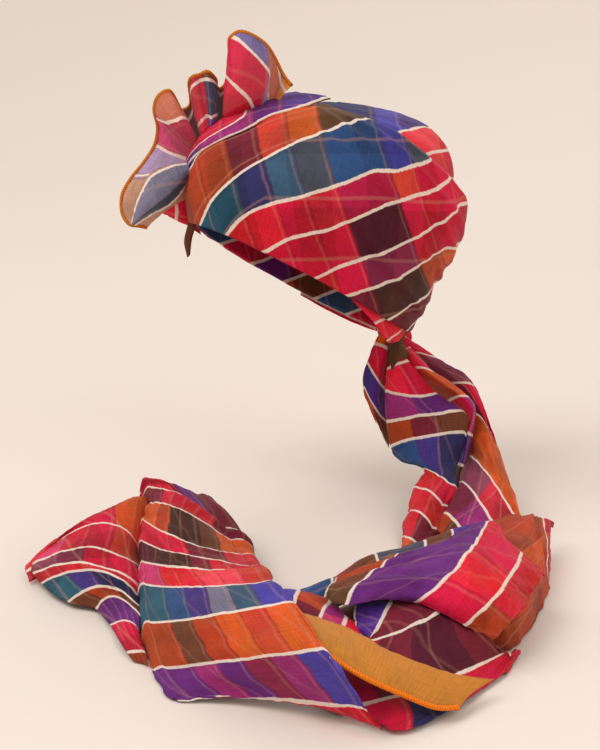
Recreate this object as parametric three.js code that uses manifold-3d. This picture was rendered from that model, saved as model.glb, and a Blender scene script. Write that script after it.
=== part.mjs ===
// A head wrap made of one long, thin plaid scarf. The cloth is wound round the head in slanting
// layers, its bordered corner fans out as a crest above the brow, and its free end leaves a small
// knot at the nape, hangs down and lies in a loose pile beside and before the wearer.
//
// Lengths are millimetres and angles are degrees. +Z is up, the face looks along -Y, and +X is the
// wearer's left. The origin is the centre of the head opening, where the wrap sits on the head.

import * as THREE from "three";
import manifoldModule from "manifold-3d";

// Driving dimensions
const CLOTH = 1.2; // thickness of a single sheet, its soft loft included
const CROWN_CLOTH = 1.6; // thickness of the inner winding
const HEM_RADIUS = 1.7; // stitched edge of the crest and the border
const HEM_GAP = 1.2; // from the end of a sheet to the cord of its hem
const CREST_SHORT = 5.8; // the crest's sheet stops this far before the line of its hem
const DRAPE_TURN = 45; // crest and free end are laid out on axes turned this far from the head's
const HEAD_RISE = 195; // height of the head opening above the surface that the free end lies on
const NECK_OFFSET = 5; // the drape's upright axis stands this far before the opening's centre
const RIM_LEAN = 0.15; // the rim drops this much for each millimetre towards the wearer's left
const FRONT_NARROW = 0.12; // how much slimmer the winding is at the brow than behind

// Windings. Each ring of the inner winding runs from a point over the brow to a point behind.
// Columns: brow y, brow z, back y, back z, half width.
const RINGS = [
  [-96, 56, 100, -58, 75],
  [-98, 78, 124, -28, 84],
  [-93, 96, 142, 10, 92],
  [-82, 113, 150, 48, 96],
  [-64, 127, 148, 80, 92],
  [-39, 138, 136, 107, 80],
  [-10, 144, 114, 127, 60],
  [19, 147, 88, 139, 33],
  [55, 146, 55, 146, 0],
];
const TOP_RING = RINGS.length - 1;
const LEAN_FADES_AT = 4; // ring where the rim's sideways lean has died out

// Edges of the outer windings. Columns: angle round the head from the brow towards the wearer's
// left, lower edge and upper edge as ring numbers.
const FRONT_WRAP_EDGES = [
  [-60, 0.02, 1.0],
  [-48, 0.02, 1.7],
  [-17, 0.02, 3.1],
  [6, 0.02, 4.4],
  [14, 0.02, 5.3],
  [22, 0.02, 6.0],
  [32, 0.02, 6.65],
  [50, 0.02, 6.2],
  [70, 0.02, 5.65],
  [84, 0.02, 5.05],
  [92, 0.02, 4.6],
  [102, 0.02, 4.15],
  [116, 0.05, 3.75],
  [132, 0.1, 3.4],
  [150, 0.4, 2.95],
  [165, 0.8, 2.5],
  [180, 1.15, 2.05],
];
const SIDE_WRAP_EDGES = [
  [-24, 0.05, 3.2],
  [-36, 0.05, 4.3],
  [-48, 0.05, 5.3],
  [-60, 0.05, 5.9],
  [-75, 0.05, 6.0],
  [-90, 0.05, 5.4],
  [-105, 0.05, 4.5],
  [-120, 0.1, 3.8],
  [-140, 0.35, 3.2],
  [-160, 0.8, 2.6],
  [-192, 1.35, 1.95],
];
const NAPE_FOLD_EDGES = [
  [84, -0.03, 0.3],
  [100, -0.25, 0.45],
  [110, -0.48, 0.5],
  [120, -0.56, 0.5],
  [130, -0.36, 0.5],
  [140, -0.04, 0.5],
  [165, -0.04, 0.5],
  [195, -0.1, 0.5],
  [212, -0.1, 0.3],
  [228, -0.06, 0.1],
];
// The folded strip over the brow. Columns: ring, outer angle, inner angle.
const BROW_FOLD_EDGES = [
  [1.2, -51, -47],
  [1.7, -53, -39],
  [2.6, -50, -17],
  [3.9, -46, 6],
  [4.8, -53, 12],
  [5.4, -61, 21],
  [6.4, -72, 30],
  [6.8, -84, 36],
];

// How far each outer face stands off the inner winding.
const FRONT_STANDOFF = 5.9;
const SIDE_STANDOFF = 3.2;
const NAPE_STANDOFF = 2.3;
const BROW_STANDOFF = 8.9;
// Swellings of the windings. Columns: angle, its reach, ring, its reach, height.
const FRONT_SWELLS = [
  [128, 30, 2.85, 1.0, 8.5],
  [124, 22, 1.5, 0.3, -2.2],
  [60, 45, 3.0, 1.6, 2.0],
];
const SIDE_SWELLS = [[-120, 34, 2.3, 1.1, 5.0]];
const LOBE_SWELLS = [
  [150, 42, 5.0, 1.4, 5.5],
  [205, 40, 4.2, 1.6, 5.0],
];
const GATHERS = 9; // soft pleats that run into the knot at the nape
const GATHER_DEPTH = 1.3;

// Crest and free end. Their tables are on the drape's own axes: right, towards the viewer and up
// from the surface below. A row is one fold or one white stripe of the plaid.
// Columns: start right, front, up; middle right, front, up; end right, front, up.
const CREST_FAN = [
  [-24, 14, 338, -16, 18, 349, -7, 20, 360],
  [-27, 10, 336, -21, 8, 351, -14, 8, 368],
  [-30, 10, 336, -25, 14, 361, -21, 10, 382],
  [-36, 16, 334, -26, 28, 365, -28, 18, 393],
  [-43, 20, 332, -36, 38, 367, -39, 24, 401],
  [-50, 22, 329, -46, 42, 366, -49, 28, 404],
  [-58, 22, 325, -56, 38, 364, -56, 28, 400],
  [-65, 16, 320, -62, 22, 360, -58, 22, 394],
  [-67, 2, 320, -64, -4, 346, -59, -6, 366],
  [-69, 2, 318, -68, -6, 339, -66, -10, 355],
  [-70, 8, 317, -69, 0, 341, -70, -4, 357],
  [-71, 16, 317, -68, 16, 344, -70, 8, 364],
  [-74, 20, 317, -73, 26, 345, -76, 18, 371],
  [-76, 18, 315, -78, 20, 343, -83, 14, 368],
  [-78, 20, 314, -83, 24, 340, -88, 18, 367],
  [-81, 14, 312, -88, 12, 337, -92, 8, 361],
  [-82, 0, 311, -88, -6, 327, -92, -8, 342],
  [-83, 0, 309, -92, -6, 323, -100, -8, 337],
  [-84, 10, 308, -91, 8, 327, -102, 2, 343],
  [-83, 18, 307, -94, 24, 332, -108, 14, 355],
  [-84, 20, 306, -99, 30, 329, -117, 16, 351],
  [-85, 20, 303, -102, 26, 321, -121, 14, 340],
  [-86, 16, 300, -103, 14, 311, -119, 6, 324],
  [-87, 14, 296, -105, 12, 302, -122, 6, 309],
  [-88, 16, 293, -110, 18, 293, -131, 12, 295],
  [-88, 20, 290, -115, 26, 286, -141, 20, 283],
  [-89, 22, 285, -118, 32, 278, -148, 26, 270],
  [-89, 22, 280, -119, 36, 271, -148, 30, 256],
  [-89, 22, 275, -117, 38, 264, -142, 34, 247],
  [-89, 20, 272, -113, 34, 260, -134, 32, 245],
  [-90, 18, 268, -110, 28, 258, -128, 28, 243],
];
const CREST_ROLL = [
  [-139, 50, 250, -138, 51, 249, -135, 50, 248],
  [-135, 50, 265, -130, 56, 260, -123, 52, 256],
  [-130, 48, 279, -121, 58, 270, -113, 52, 261],
  [-122, 44, 291, -112, 56, 278, -103, 48, 267],
  [-107, 40, 297, -100, 50, 287, -95, 42, 277],
  [-92, 32, 298, -90, 38, 293, -90, 34, 288],
];
const CREST_LOWER = [
  [-126, 12, 257, -123, 12, 255, -119, 12, 254],
  [-114, 12, 262, -112, 16, 257, -111, 12, 251],
  [-101, 12, 272, -100, 18, 263, -101, 12, 248],
  [-92, 10, 280, -92, 14, 266, -93, 10, 246],
];
const BROW_TIP = [
  [-90, 42, 256, -87, 45, 255, -84, 45, 252],
  [-93, 43, 247, -89, 46, 247, -85, 46, 249],
  [-96, 43, 234, -92, 47, 236, -89, 46, 237],
  [-94, 43, 222, -93, 45, 221, -91, 44, 223],
];
const TAIL_LEFT = [
  [73, -37, 142, 77, -35, 140, 82, -37, 138],
  [67, -34, 129, 74, -31, 127, 81, -34, 122],
  [60, -30, 113, 66, -24, 102, 73, -28, 92],
  [57, -22, 92, 64, -16, 79, 72, -18, 67],
  [68, -14, 63, 72, -10, 54, 76, -10, 46],
];
const TAIL_TUCK = [
  [81, -26, 140, 84, -23, 137, 88, -26, 134],
  [80, -24, 128, 85, -19, 129, 91, -22, 126],
  [79, -22, 114, 82, -19, 116, 86, -23, 118],
];
const TAIL_CENTER = [
  [78, -22, 112, 85, -19, 117, 92, -24, 119],
  [77, -11, 92, 96, 1, 91, 119, -8, 91],
  [77, 0, 68, 105, 13, 76, 138, 1, 78],
  [80, 8, 48, 109, 23, 61, 140, 10, 61],
  [88, 17, 38, 113, 38, 42, 134, 26, 38],
  [107, 38, 36, 118, 62, 37, 128, 68, 31],
  [97, 62, 27, 108, 86, 31, 118, 92, 21],
  [89, 96, 16, 98, 116, 22, 108, 122, 12],
  [83, 132, 8, 88, 152, 13, 96, 150, 7],
  [82, 150, 4, 86, 164, 7, 92, 162, 4],
];
const TAIL_ROLL = [
  [92, -36, 124, 94, -35, 125, 97, -38, 126],
  [99, -25, 108, 107, -17, 112, 117, -26, 107],
  [118, -19, 94, 122, -9, 101, 129, -21, 100],
  [134, -13, 84, 141, -5, 89, 148, -14, 86],
  [148, -8, 70, 151, -2, 76, 154, -8, 77],
  [145, 0, 57, 147, 7, 58, 151, 2, 55],
  [139, 14, 33, 141, 22, 34, 144, 16, 30],
  [136, 22, 22, 138, 26, 22, 140, 22, 20],
];
const TAIL_OUTER = [
  [88, -56, 132, 91, -55, 132, 95, -56, 130],
  [101, -50, 118, 111, -46, 117, 121, -50, 114],
  [134, -40, 91, 144, -36, 93, 154, -40, 90],
  [154, -24, 68, 165, -12, 61, 174, 10, 40],
  [152, 0, 44, 165, 50, 45, 174, 124, 32],
  [149, 10, 38, 158, 70, 40, 165, 134, 29],
  [137, 66, 33, 141, 98, 35, 145, 138, 27],
  [118, 112, 20, 120, 126, 24, 124, 134, 18],
  [110, 130, 12, 112, 142, 15, 116, 144, 11],
];
const TAIL_REST = [
  [84, 170, 3, 100, 164, 8, 117, 152, 4],
  [80, 191, 3, 97, 182, 8, 116, 170, 3],
  [78, 208, 2.5, 90, 197, 6, 108, 184, 2.5],
];
const PILE_BACK = [
  [-19, 362, 26, -21, 338, 41, -24, 290, 4],
  [0, 366, 26, -1, 342, 42, 0, 288, 4],
  [23, 356, 34, 22, 327, 46, 24, 270, 4],
  [55, 322, 34, 54, 286, 48, 52, 240, 4],
  [90, 292, 34, 91, 261, 50, 90, 212, 4],
  [112, 278, 34, 113, 239, 50, 112, 195, 4],
  [132, 252, 32, 135, 212, 47, 130, 180, 4],
];
const PILE_SWIRL = [
  [17, 372, 50, 20, 361, 53, 24, 344, 52],
  [31, 388, 51, 45, 360, 60, 74, 311, 58],
  [56, 378, 51, 78, 353, 63, 106, 285, 60],
  [79, 376, 47, 108, 349, 63, 141, 238, 58],
  [98, 383, 42, 125, 362, 58, 151, 268, 54],
  [111, 388, 36, 135, 368, 52, 159, 288, 50],
  [118, 385, 31, 142, 362, 45, 165, 288, 44],
];
const PILE_FOLD = [
  [124, 358, 6, 136, 316, 30, 144, 188, 38],
  [139, 357, 4, 150, 321, 34, 160, 182, 40],
  [155, 336, 4, 165, 292, 33, 180, 171, 39],
  [176, 275, 4, 180, 242, 27, 187, 167, 36],
  [189, 222, 5, 190, 196, 23, 193, 161, 33],
  [197, 174, 5, 200, 159, 14, 203, 142, 24],
];
const PILE_LEFT = [
  [-21, 352, 47, -22, 366, 47, -23, 372, 38],
  [-1, 352, 45, -3, 370, 47, -6, 384, 40],
  [20, 366, 43, 15, 386, 44, 10, 400, 37],
  [31, 378, 38, 30, 390, 38, 24, 404, 32],
  [42, 386, 30, 40, 398, 30, 34, 410, 24],
];
const PILE_FRONT = [
  [36, 384, 38, 37, 372, 40, 42, 352, 40],
  [50, 396, 34, 57, 382, 39, 64, 356, 40],
  [43, 403, 30, 74, 399, 34, 104, 370, 33],
  [28, 437, 20, 72, 417, 26, 124, 384, 22],
  [37, 455, 9, 82, 434, 12, 139, 378, 11],
  [42, 462, 5, 88, 447, 6, 149, 360, 5],
  [55, 477, 2.5, 82, 465, 2.5, 136, 392, 2.5],
];
const BORDER = [
  [-19, 396, 61, -20, 384, 60, -22, 369, 57],
  [-6, 440, 61, -5, 429, 60, -4, 414, 57],
  [8, 463, 54, 10, 452, 57, 12, 421, 54],
  [25, 471, 44, 28, 456, 50, 30, 426, 49],
  [43, 473, 34, 48, 459, 39, 52, 438, 41],
  [64, 468, 22, 71, 457, 27, 78, 440, 30],
  [85, 463, 11, 93, 451, 16, 101, 434, 20],
  [101, 455, 7, 112, 440, 11, 126, 424, 12],
];
// The last column is how far the band's far edge turns down.
const TAIL_BAND = [
  [-115, 100, 5, -92, 98, 6, -62, 128, 5, 4],
  [-122, 128, 54, -104, 145, 56, -83, 133, 44, 22],
  [-119, 138, 51, -87, 179, 55, -58, 185, 33, 22],
  [-117, 162, 46, -88, 215, 57, -53, 209, 31, 24],
  [-120, 196, 43, -84, 273, 54, -42, 248, 33, 24],
  [-117, 237, 40, -78, 307, 54, -36, 294, 43, 18],
  [-113, 273, 37, -75, 331, 54, -28, 335, 56, 8],
  [-110, 302, 31, -64, 369, 55, -21, 382, 66, 4],
  [-102, 352, 22, -56, 408, 50, -6, 432, 69, 4],
  [-89, 394, 7, -38, 443, 34, 14, 478, 56, 5],
  [-71, 428, 4, -13, 449, 11, 42, 486, 20, 5],
  [-62, 433, 3, -6, 453, 6, 52, 492, 6, 4],
];
const TAIL_LEAF = [
  [-206, 222, 3, -161, 150, 3, -122, 90, 4],
  [-211, 206, 8, -166, 188, 40, -128, 132, 42],
  [-203, 202, 15, -158, 205, 43, -127, 212, 34],
  [-206, 206, 11, -160, 245, 38, -125, 251, 30],
  [-204, 218, 8, -158, 266, 34, -122, 281, 26],
  [-196, 232, 5, -153, 275, 32, -122, 290, 24],
  [-171, 268, 4, -144, 282, 22, -119, 305, 20],
  [-149, 279, 3, -135, 290, 17, -118, 314, 18],
  [-136, 309, 3, -123, 324, 12, -114, 335, 12],
  [-119, 358, 3, -111, 361, 6, -106, 362, 6],
  [-114, 368, 2, -108, 372, 2, -104, 376, 2],
];

// Measures of a table's own sheet: rows, steps between two rows, steps across, and how far each
// edge turns down at the start and the end of a row.
const SHEETS = {
  crest_fan: { rows: CREST_FAN, along: 2, across: 3, short: CREST_SHORT, colour: 0xb8204a },
  crest_roll: { rows: CREST_ROLL, along: 2, across: 4, colour: 0x6a6a86 },
  crest_lower: { rows: CREST_LOWER, along: 2, across: 3, colour: 0xc41f3c },
  brow_tip: { rows: BROW_TIP, along: 2, across: 2, colour: 0x7a3a22 },
  tail_left: { rows: TAIL_LEFT, along: 2, across: 3, fall: [2, 1.5], colour: 0xb03a26 },
  tail_tuck: { rows: TAIL_TUCK, along: 2, across: 3, fall: [1.5, 1.5], colour: 0x6e4a26 },
  tail_center: { rows: TAIL_CENTER, along: 2, across: 4, fall: [1, 1], colour: 0x9c1f46 },
  tail_roll: { rows: TAIL_ROLL, along: 2, across: 3, fall: [1, 1.5], colour: 0xb5202e },
  tail_outer: { rows: TAIL_OUTER, along: 2, across: 5, fall: [1, 2], colour: 0xb3502c },
  tail_rest: { rows: TAIL_REST, along: 2, across: 4, colour: 0x9c3a2c },
  pile_back: { rows: PILE_BACK, along: 2, across: 5, colour: 0x4a3a56 },
  pile_swirl: { rows: PILE_SWIRL, along: 2, across: 5, fall: [2, 2], colour: 0x8c1f5c },
  pile_fold: { rows: PILE_FOLD, along: 2, across: 6, fall: [0, 10], colour: 0xb84020 },
  pile_left: { rows: PILE_LEFT, along: 2, across: 3, colour: 0xa82430 },
  pile_front: { rows: PILE_FRONT, along: 2, across: 5, colour: 0x5a1f2c },
  tail_border: { rows: BORDER, along: 2, across: 3, colour: 0xe08a2e },
  tail_band: { rows: TAIL_BAND, along: 2, across: 6, fall: [5, 0], colour: 0xb02c44 },
  tail_leaf: { rows: TAIL_LEAF, along: 2, across: 4, colour: 0xa0304e },
};
const WINDING_STEP = 12; // degrees between two columns of a winding
const KNOT = { x: 10, y: 116, z: -66, wide: 17, deep: 11, high: 13, lobes: 3, groove: 0.13 };
const KNOT_STEPS = 12;
const CREST_CLEAR = 11.5; // crest sheets start this far off the inner winding
const TIP_CLEAR = 6.4; // so does the small tip on the brow

const turn = THREE.MathUtils.degToRad(DRAPE_TURN);
const fabric = (colour) =>
  new THREE.MeshStandardMaterial({ color: colour, roughness: 0.82, metalness: 0 });

// Smooth curve through the rows of a table, at a row number that may lie between two rows.
function rowAt(rows, position) {
  const last = rows.length - 1;
  const index = Math.min(Math.max(Math.floor(position), 0), last - 1);
  const u = position - index;
  const here = rows[index];
  const next = rows[index + 1];
  return here.map((value, column) => {
    const before = index > 0 ? rows[index - 1][column] : 2 * value - next[column];
    const after = index + 2 <= last ? rows[index + 2][column] : 2 * next[column] - value;
    const slope = (next[column] - before) / 2;
    const slopeNext = (after - value) / 2;
    const rise = next[column] - value;
    return value + u * (slope + u * (3 * rise - 2 * slope - slopeNext
      + u * (slope + slopeNext - 2 * rise)));
  });
}

// Straight run between the rows of a table whose first column is the position.
function lineAt(rows, position) {
  const rising = rows[rows.length - 1][0] > rows[0][0];
  const order = rising ? rows : [...rows].reverse();
  const index = Math.max(order.findIndex((row) => row[0] >= position), 1);
  const [from, to] = [order[index - 1], order[index]];
  const u = Math.min(Math.max((position - from[0]) / (to[0] - from[0]), 0), 1);
  return from.map((value, column) => value + (to[column] - value) * u);
}

const bell = (value, centre, reach) => Math.exp(-(((value - centre) / reach) ** 2));
const swell = (table, angle, ring) =>
  table.reduce((sum, [at, reach, level, span, height]) =>
    sum + height * bell(angle, at, reach) * bell(ring, level, span), 0);

// Point of the inner winding at an angle from the brow and a ring number.
function windingPoint(angle, ring) {
  const [browY, browZ, backY, backZ, half] = rowAt(RINGS, ring);
  const c = Math.cos(THREE.MathUtils.degToRad(angle));
  const s = Math.sin(THREE.MathUtils.degToRad(angle));
  const x = half * s * (1 - FRONT_NARROW * c);
  const lean = RIM_LEAN * x * Math.max(0, 1 - ring / LEAN_FADES_AT);
  return new THREE.Vector3(
    x,
    (browY + backY) / 2 - ((backY - browY) / 2) * c,
    (browZ + backZ) / 2 - ((backZ - browZ) / 2) * c - lean,
  );
}

// The same point stood off the winding along its outward direction.
function standOff(angle, ring, distance) {
  const around = windingPoint(angle + 1, ring).sub(windingPoint(angle - 1, ring));
  const upTo = Math.min(ring + 0.03, TOP_RING);
  const upward = windingPoint(angle, upTo).sub(windingPoint(angle, upTo - 0.06));
  const out = around.cross(upward).normalize();
  return windingPoint(angle, ring).addScaledVector(out, distance);
}

// Point of the drape's own axes as a point of the part.
function draped([right, front, up]) {
  return new THREE.Vector3(
    right * Math.cos(turn) + front * Math.sin(turn),
    right * Math.sin(turn) - front * Math.cos(turn) + NECK_OFFSET,
    up - HEAD_RISE,
  );
}

// Closed shell of one thickness under a grid of points. A grid that runs all the way round closes
// on itself, and a capped one ends in the single point that its last row repeats.
function shell(grid, thickness, inside, { round = false, capped = false } = {}) {
  const rows = grid.length;
  const columns = grid[0].length;
  const wrap = (j) => (round ? (j + columns) % columns : Math.min(Math.max(j, 0), columns - 1));
  const clampRow = (i) => Math.min(Math.max(i, 0), rows - 1);
  const normals = grid.map((line, i) => line.map((_, j) => {
    const across = grid[i][wrap(j + 1)].clone().sub(grid[i][wrap(j - 1)]);
    const along = grid[clampRow(i + 1)][j].clone().sub(grid[clampRow(i - 1)][j]);
    return across.cross(along).normalize();
  }));
  if (capped) {
    const tip = normals[rows - 2].reduce((sum, n) => sum.add(n), new THREE.Vector3()).normalize();
    normals[rows - 1] = grid[0].map(() => tip);
  }
  const outward = grid.flat().reduce((sum, point, k) =>
    sum + normals.flat()[k].dot(point.clone().sub(inside)), 0);
  const facing = Math.sign(outward);

  const positions = [];
  const ids = [1, 0].map((outer) => grid.map((line, i) => line.map((point, j) => {
    if (capped && i === rows - 1 && j > 0) return positions.length / 3 - 1;
    const depth = outer ? 0 : -thickness * facing;
    positions.push(...point.clone().addScaledVector(normals[i][j], depth).toArray());
    return positions.length / 3 - 1;
  })));
  const [outerIds, innerIds] = ids;
  const index = [];
  const triangle = (a, b, c) => {
    if (a === b || b === c || c === a) return;
    index.push(...(facing > 0 ? [a, b, c] : [a, c, b]));
  };
  const quad = (a, b, c, d) => {
    triangle(a, b, c);
    triangle(a, c, d);
  };
  const spans = round ? columns : columns - 1;
  for (let i = 0; i < rows - 1; i += 1) {
    for (let j = 0; j < spans; j += 1) {
      const k = wrap(j + 1);
      quad(outerIds[i][j], outerIds[i][k], outerIds[i + 1][k], outerIds[i + 1][j]);
      quad(innerIds[i][j], innerIds[i + 1][j], innerIds[i + 1][k], innerIds[i][k]);
    }
    if (!round) {
      const e = columns - 1;
      quad(outerIds[i][0], outerIds[i + 1][0], innerIds[i + 1][0], innerIds[i][0]);
      quad(outerIds[i][e], innerIds[i][e], innerIds[i + 1][e], outerIds[i + 1][e]);
    }
  }
  for (let j = 0; j < spans; j += 1) {
    const k = wrap(j + 1);
    const t = rows - 1;
    quad(outerIds[0][j], innerIds[0][j], innerIds[0][k], outerIds[0][k]);
    if (!capped) quad(outerIds[t][j], outerIds[t][k], innerIds[t][k], innerIds[t][j]);
  }
  const geometry = new THREE.BufferGeometry();
  geometry.setAttribute("position", new THREE.Float32BufferAttribute(positions, 3));
  geometry.setIndex(index);
  geometry.computeVertexNormals();
  return geometry;
}

// Grid between the edges of an outer winding, stood off by a function of angle and ring.
function windingGrid(edges, acrossSteps, distance) {
  const start = edges[0][0];
  const end = edges[edges.length - 1][0];
  const columns = Math.round(Math.abs(end - start) / WINDING_STEP);
  return Array.from({ length: columns + 1 }, (_, i) => {
    const angle = start + ((end - start) * i) / columns;
    const [, low, high] = lineAt(edges, angle);
    return Array.from({ length: acrossSteps + 1 }, (__, j) => {
      const share = j / acrossSteps;
      const ring = low + (high - low) * share;
      return standOff(angle, ring, distance(angle, ring, share));
    });
  });
}

// Point across one row of a drape table: a parabola through its start, middle and end.
function acrossRow(row, t) {
  const a = 2 * (t - 0.5) * (t - 1);
  const m = 4 * t * (1 - t);
  const b = 2 * t * (t - 0.5);
  return [0, 1, 2].map((k) => row[k] * a + row[k + 3] * m + row[k + 6] * b);
}

// Two more points where an edge turns down in a quarter of a circle.
function turnedDown(edge, before, radius) {
  if (!radius) return [];
  const out = edge.map((value, k) => value - before[k]);
  const length = Math.hypot(out[0], out[1]) || 1;
  return [45, 80].map((degrees) => {
    const angle = THREE.MathUtils.degToRad(degrees);
    const reach = radius * Math.sin(angle);
    return [
      edge[0] + (out[0] / length) * reach,
      edge[1] + (out[1] / length) * reach,
      edge[2] - radius * (1 - Math.cos(angle)),
    ];
  });
}

// Share of a row that its sheet covers when it stops short of the row's end.
function shareShortOf(row, distance) {
  const leg = (from) => Math.hypot(row[from + 3] - row[from], row[from + 4] - row[from + 1],
    row[from + 5] - row[from + 2]);
  return 1 - distance / (leg(0) + leg(3));
}

function drapeGrid({ rows, along, across, fall = [0, 0], short = 0 }) {
  const count = (rows.length - 1) * along;
  return Array.from({ length: count + 1 }, (_, i) => {
    const row = rowAt(rows, i / along);
    const reach = shareShortOf(row, short);
    const line = Array.from({ length: across + 1 }, (__, j) => acrossRow(row, (j / across) * reach));
    const before = turnedDown(line[0], line[1], fall[0]).reverse();
    const after = turnedDown(line[across], line[across - 1], row[9] ?? fall[1]);
    return [...before, ...line, ...after].map(draped);
  });
}

// Round cord along an edge, closed at both ends.
function cord(points, radius, sides, steps) {
  const section = new THREE.Shape();
  section.absarc(0, 0, radius, 0, Math.PI * 2, false);
  const path = new THREE.CatmullRomCurve3(points, false, "centripetal");
  return new THREE.ExtrudeGeometry(section, {
    extrudePath: path, steps, curveSegments: sides / 2, bevelEnabled: false,
  });
}

function mesh(name, geometry, colour) {
  const made = new THREE.Mesh(geometry, fabric(colour));
  made.name = name;
  return made;
}

const CROWN_CENTRE = new THREE.Vector3(0, 20, 20);
const DRAPE_INSIDE = draped([60, 150, -260]);

// Inner winding: a hollow crown, open below, whose back lobe swells above the outer windings.
function innerWinding() {
  const stepsUp = 12;
  const columns = Math.round(360 / WINDING_STEP);
  const grid = Array.from({ length: stepsUp + 1 }, (_, i) => {
    const ring = (TOP_RING * i) / stepsUp;
    return Array.from({ length: columns }, (__, j) => {
      const angle = (360 * j) / columns;
      const edge = angle < 182 ? lineAt(FRONT_WRAP_EDGES, angle)[2]
        : lineAt(SIDE_WRAP_EDGES, angle - 360)[2];
      const clear = THREE.MathUtils.smoothstep(ring, edge + 0.15, edge + 0.75);
      const fade = THREE.MathUtils.smoothstep(TOP_RING - ring, 0, 1.2);
      return standOff(angle, ring, swell(LOBE_SWELLS, angle, ring) * clear * fade);
    });
  });
  grid[stepsUp] = grid[0].map(() => windingPoint(0, TOP_RING));
  return mesh("crown_wrap", shell(grid, CROWN_CLOTH, CROWN_CENTRE, { round: true, capped: true }),
    0x6a2438);
}

// Pleats that run towards the knot and die out near the free edges.
const gather = (angle, share) =>
  GATHER_DEPTH * bell(angle, 176, 42) * Math.cos(share * GATHERS * Math.PI) * (1 - share * share);

function frontWrap() {
  const grid = windingGrid(FRONT_WRAP_EDGES, 9, (angle, ring, share) =>
    FRONT_STANDOFF + swell(FRONT_SWELLS, angle, ring) + gather(angle, share));
  return mesh("front_wrap", shell(grid, CLOTH, CROWN_CENTRE), 0x8c2a4c);
}

function sideWrap() {
  const grid = windingGrid(SIDE_WRAP_EDGES, 9, (angle, ring) =>
    SIDE_STANDOFF + swell(SIDE_SWELLS, angle, ring));
  return mesh("side_wrap", shell(grid, CLOTH, CROWN_CENTRE), 0xb02a3e);
}

function napeFold() {
  const grid = windingGrid(NAPE_FOLD_EDGES, 3, (angle, ring, share) =>
    NAPE_STANDOFF + 0.5 * Math.sin(share * Math.PI));
  return mesh("nape_fold", shell(grid, CLOTH, CROWN_CENTRE), 0xd0124a);
}

function browFold() {
  const stepsAcross = 5;
  const stepsUp = 14;
  const grid = Array.from({ length: stepsUp + 1 }, (_, i) => {
    const [ring, outer, inner] = rowAt(BROW_FOLD_EDGES, ((BROW_FOLD_EDGES.length - 1) * i) / stepsUp);
    return Array.from({ length: stepsAcross + 1 }, (__, j) => {
      const share = j / stepsAcross;
      const angle = outer + (inner - outer) * share;
      const round = 1.2 * Math.sin(share * Math.PI) + swell(FRONT_SWELLS, angle, ring);
      return standOff(angle, ring, BROW_STANDOFF + round);
    });
  });
  return mesh("brow_fold", shell(grid, CLOTH, CROWN_CENTRE), 0x9a2f7a);
}

// Knot that draws the windings and the free end together: a squat lump with slanting grooves.
function napeKnot() {
  const positions = [];
  const index = [];
  const level = (i, j) => {
    const polar = (Math.PI * i) / KNOT_STEPS;
    const round = (2 * Math.PI * j) / KNOT_STEPS;
    const swellOut = 1 + KNOT.groove * Math.cos(KNOT.lobes * round + 2 * polar) * Math.sin(polar);
    positions.push(
      KNOT.x + KNOT.wide * swellOut * Math.sin(polar) * Math.cos(round),
      KNOT.y + KNOT.deep * swellOut * Math.sin(polar) * Math.sin(round),
      KNOT.z + KNOT.high * Math.cos(polar),
    );
  };
  level(0, 0);
  for (let i = 1; i < KNOT_STEPS; i += 1) {
    for (let j = 0; j < KNOT_STEPS; j += 1) level(i, j);
  }
  level(KNOT_STEPS, 0);
  const id = (i, j) => 1 + (i - 1) * KNOT_STEPS + (j % KNOT_STEPS);
  const foot = 1 + (KNOT_STEPS - 1) * KNOT_STEPS;
  for (let j = 0; j < KNOT_STEPS; j += 1) {
    index.push(0, id(1, j), id(1, j + 1));
    for (let i = 1; i < KNOT_STEPS - 1; i += 1) {
      index.push(id(i, j), id(i + 1, j), id(i + 1, j + 1));
      index.push(id(i, j), id(i + 1, j + 1), id(i, j + 1));
    }
    index.push(foot, id(KNOT_STEPS - 1, j + 1), id(KNOT_STEPS - 1, j));
  }
  const geometry = new THREE.BufferGeometry();
  geometry.setAttribute("position", new THREE.Float32BufferAttribute(positions, 3));
  geometry.setIndex(index);
  geometry.computeVertexNormals();
  return mesh("nape_knot", geometry, 0xb01e3c);
}

function crestHem() {
  const steps = (CREST_FAN.length - 1) * 1.5;
  const points = Array.from({ length: CREST_FAN.length * 2 - 1 }, (_, i) =>
    draped(acrossRow(rowAt(CREST_FAN, i / 2), 1)));
  return mesh("crest_hem", cord(points, HEM_RADIUS, 6, steps), 0xc8701c);
}

function borderHem() {
  const clear = HEM_RADIUS + HEM_GAP + CLOTH;
  const points = BORDER.map((row) => {
    const edge = row.slice(0, 3);
    const out = edge.map((value, k) => value - row[k + 3]);
    const length = Math.hypot(...out);
    return draped(edge.map((value, k) => value + (out[k] / length) * clear));
  });
  return mesh("border_hem", cord(points.slice(1), HEM_RADIUS, 6, 20), 0xf08a10);
}

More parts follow.
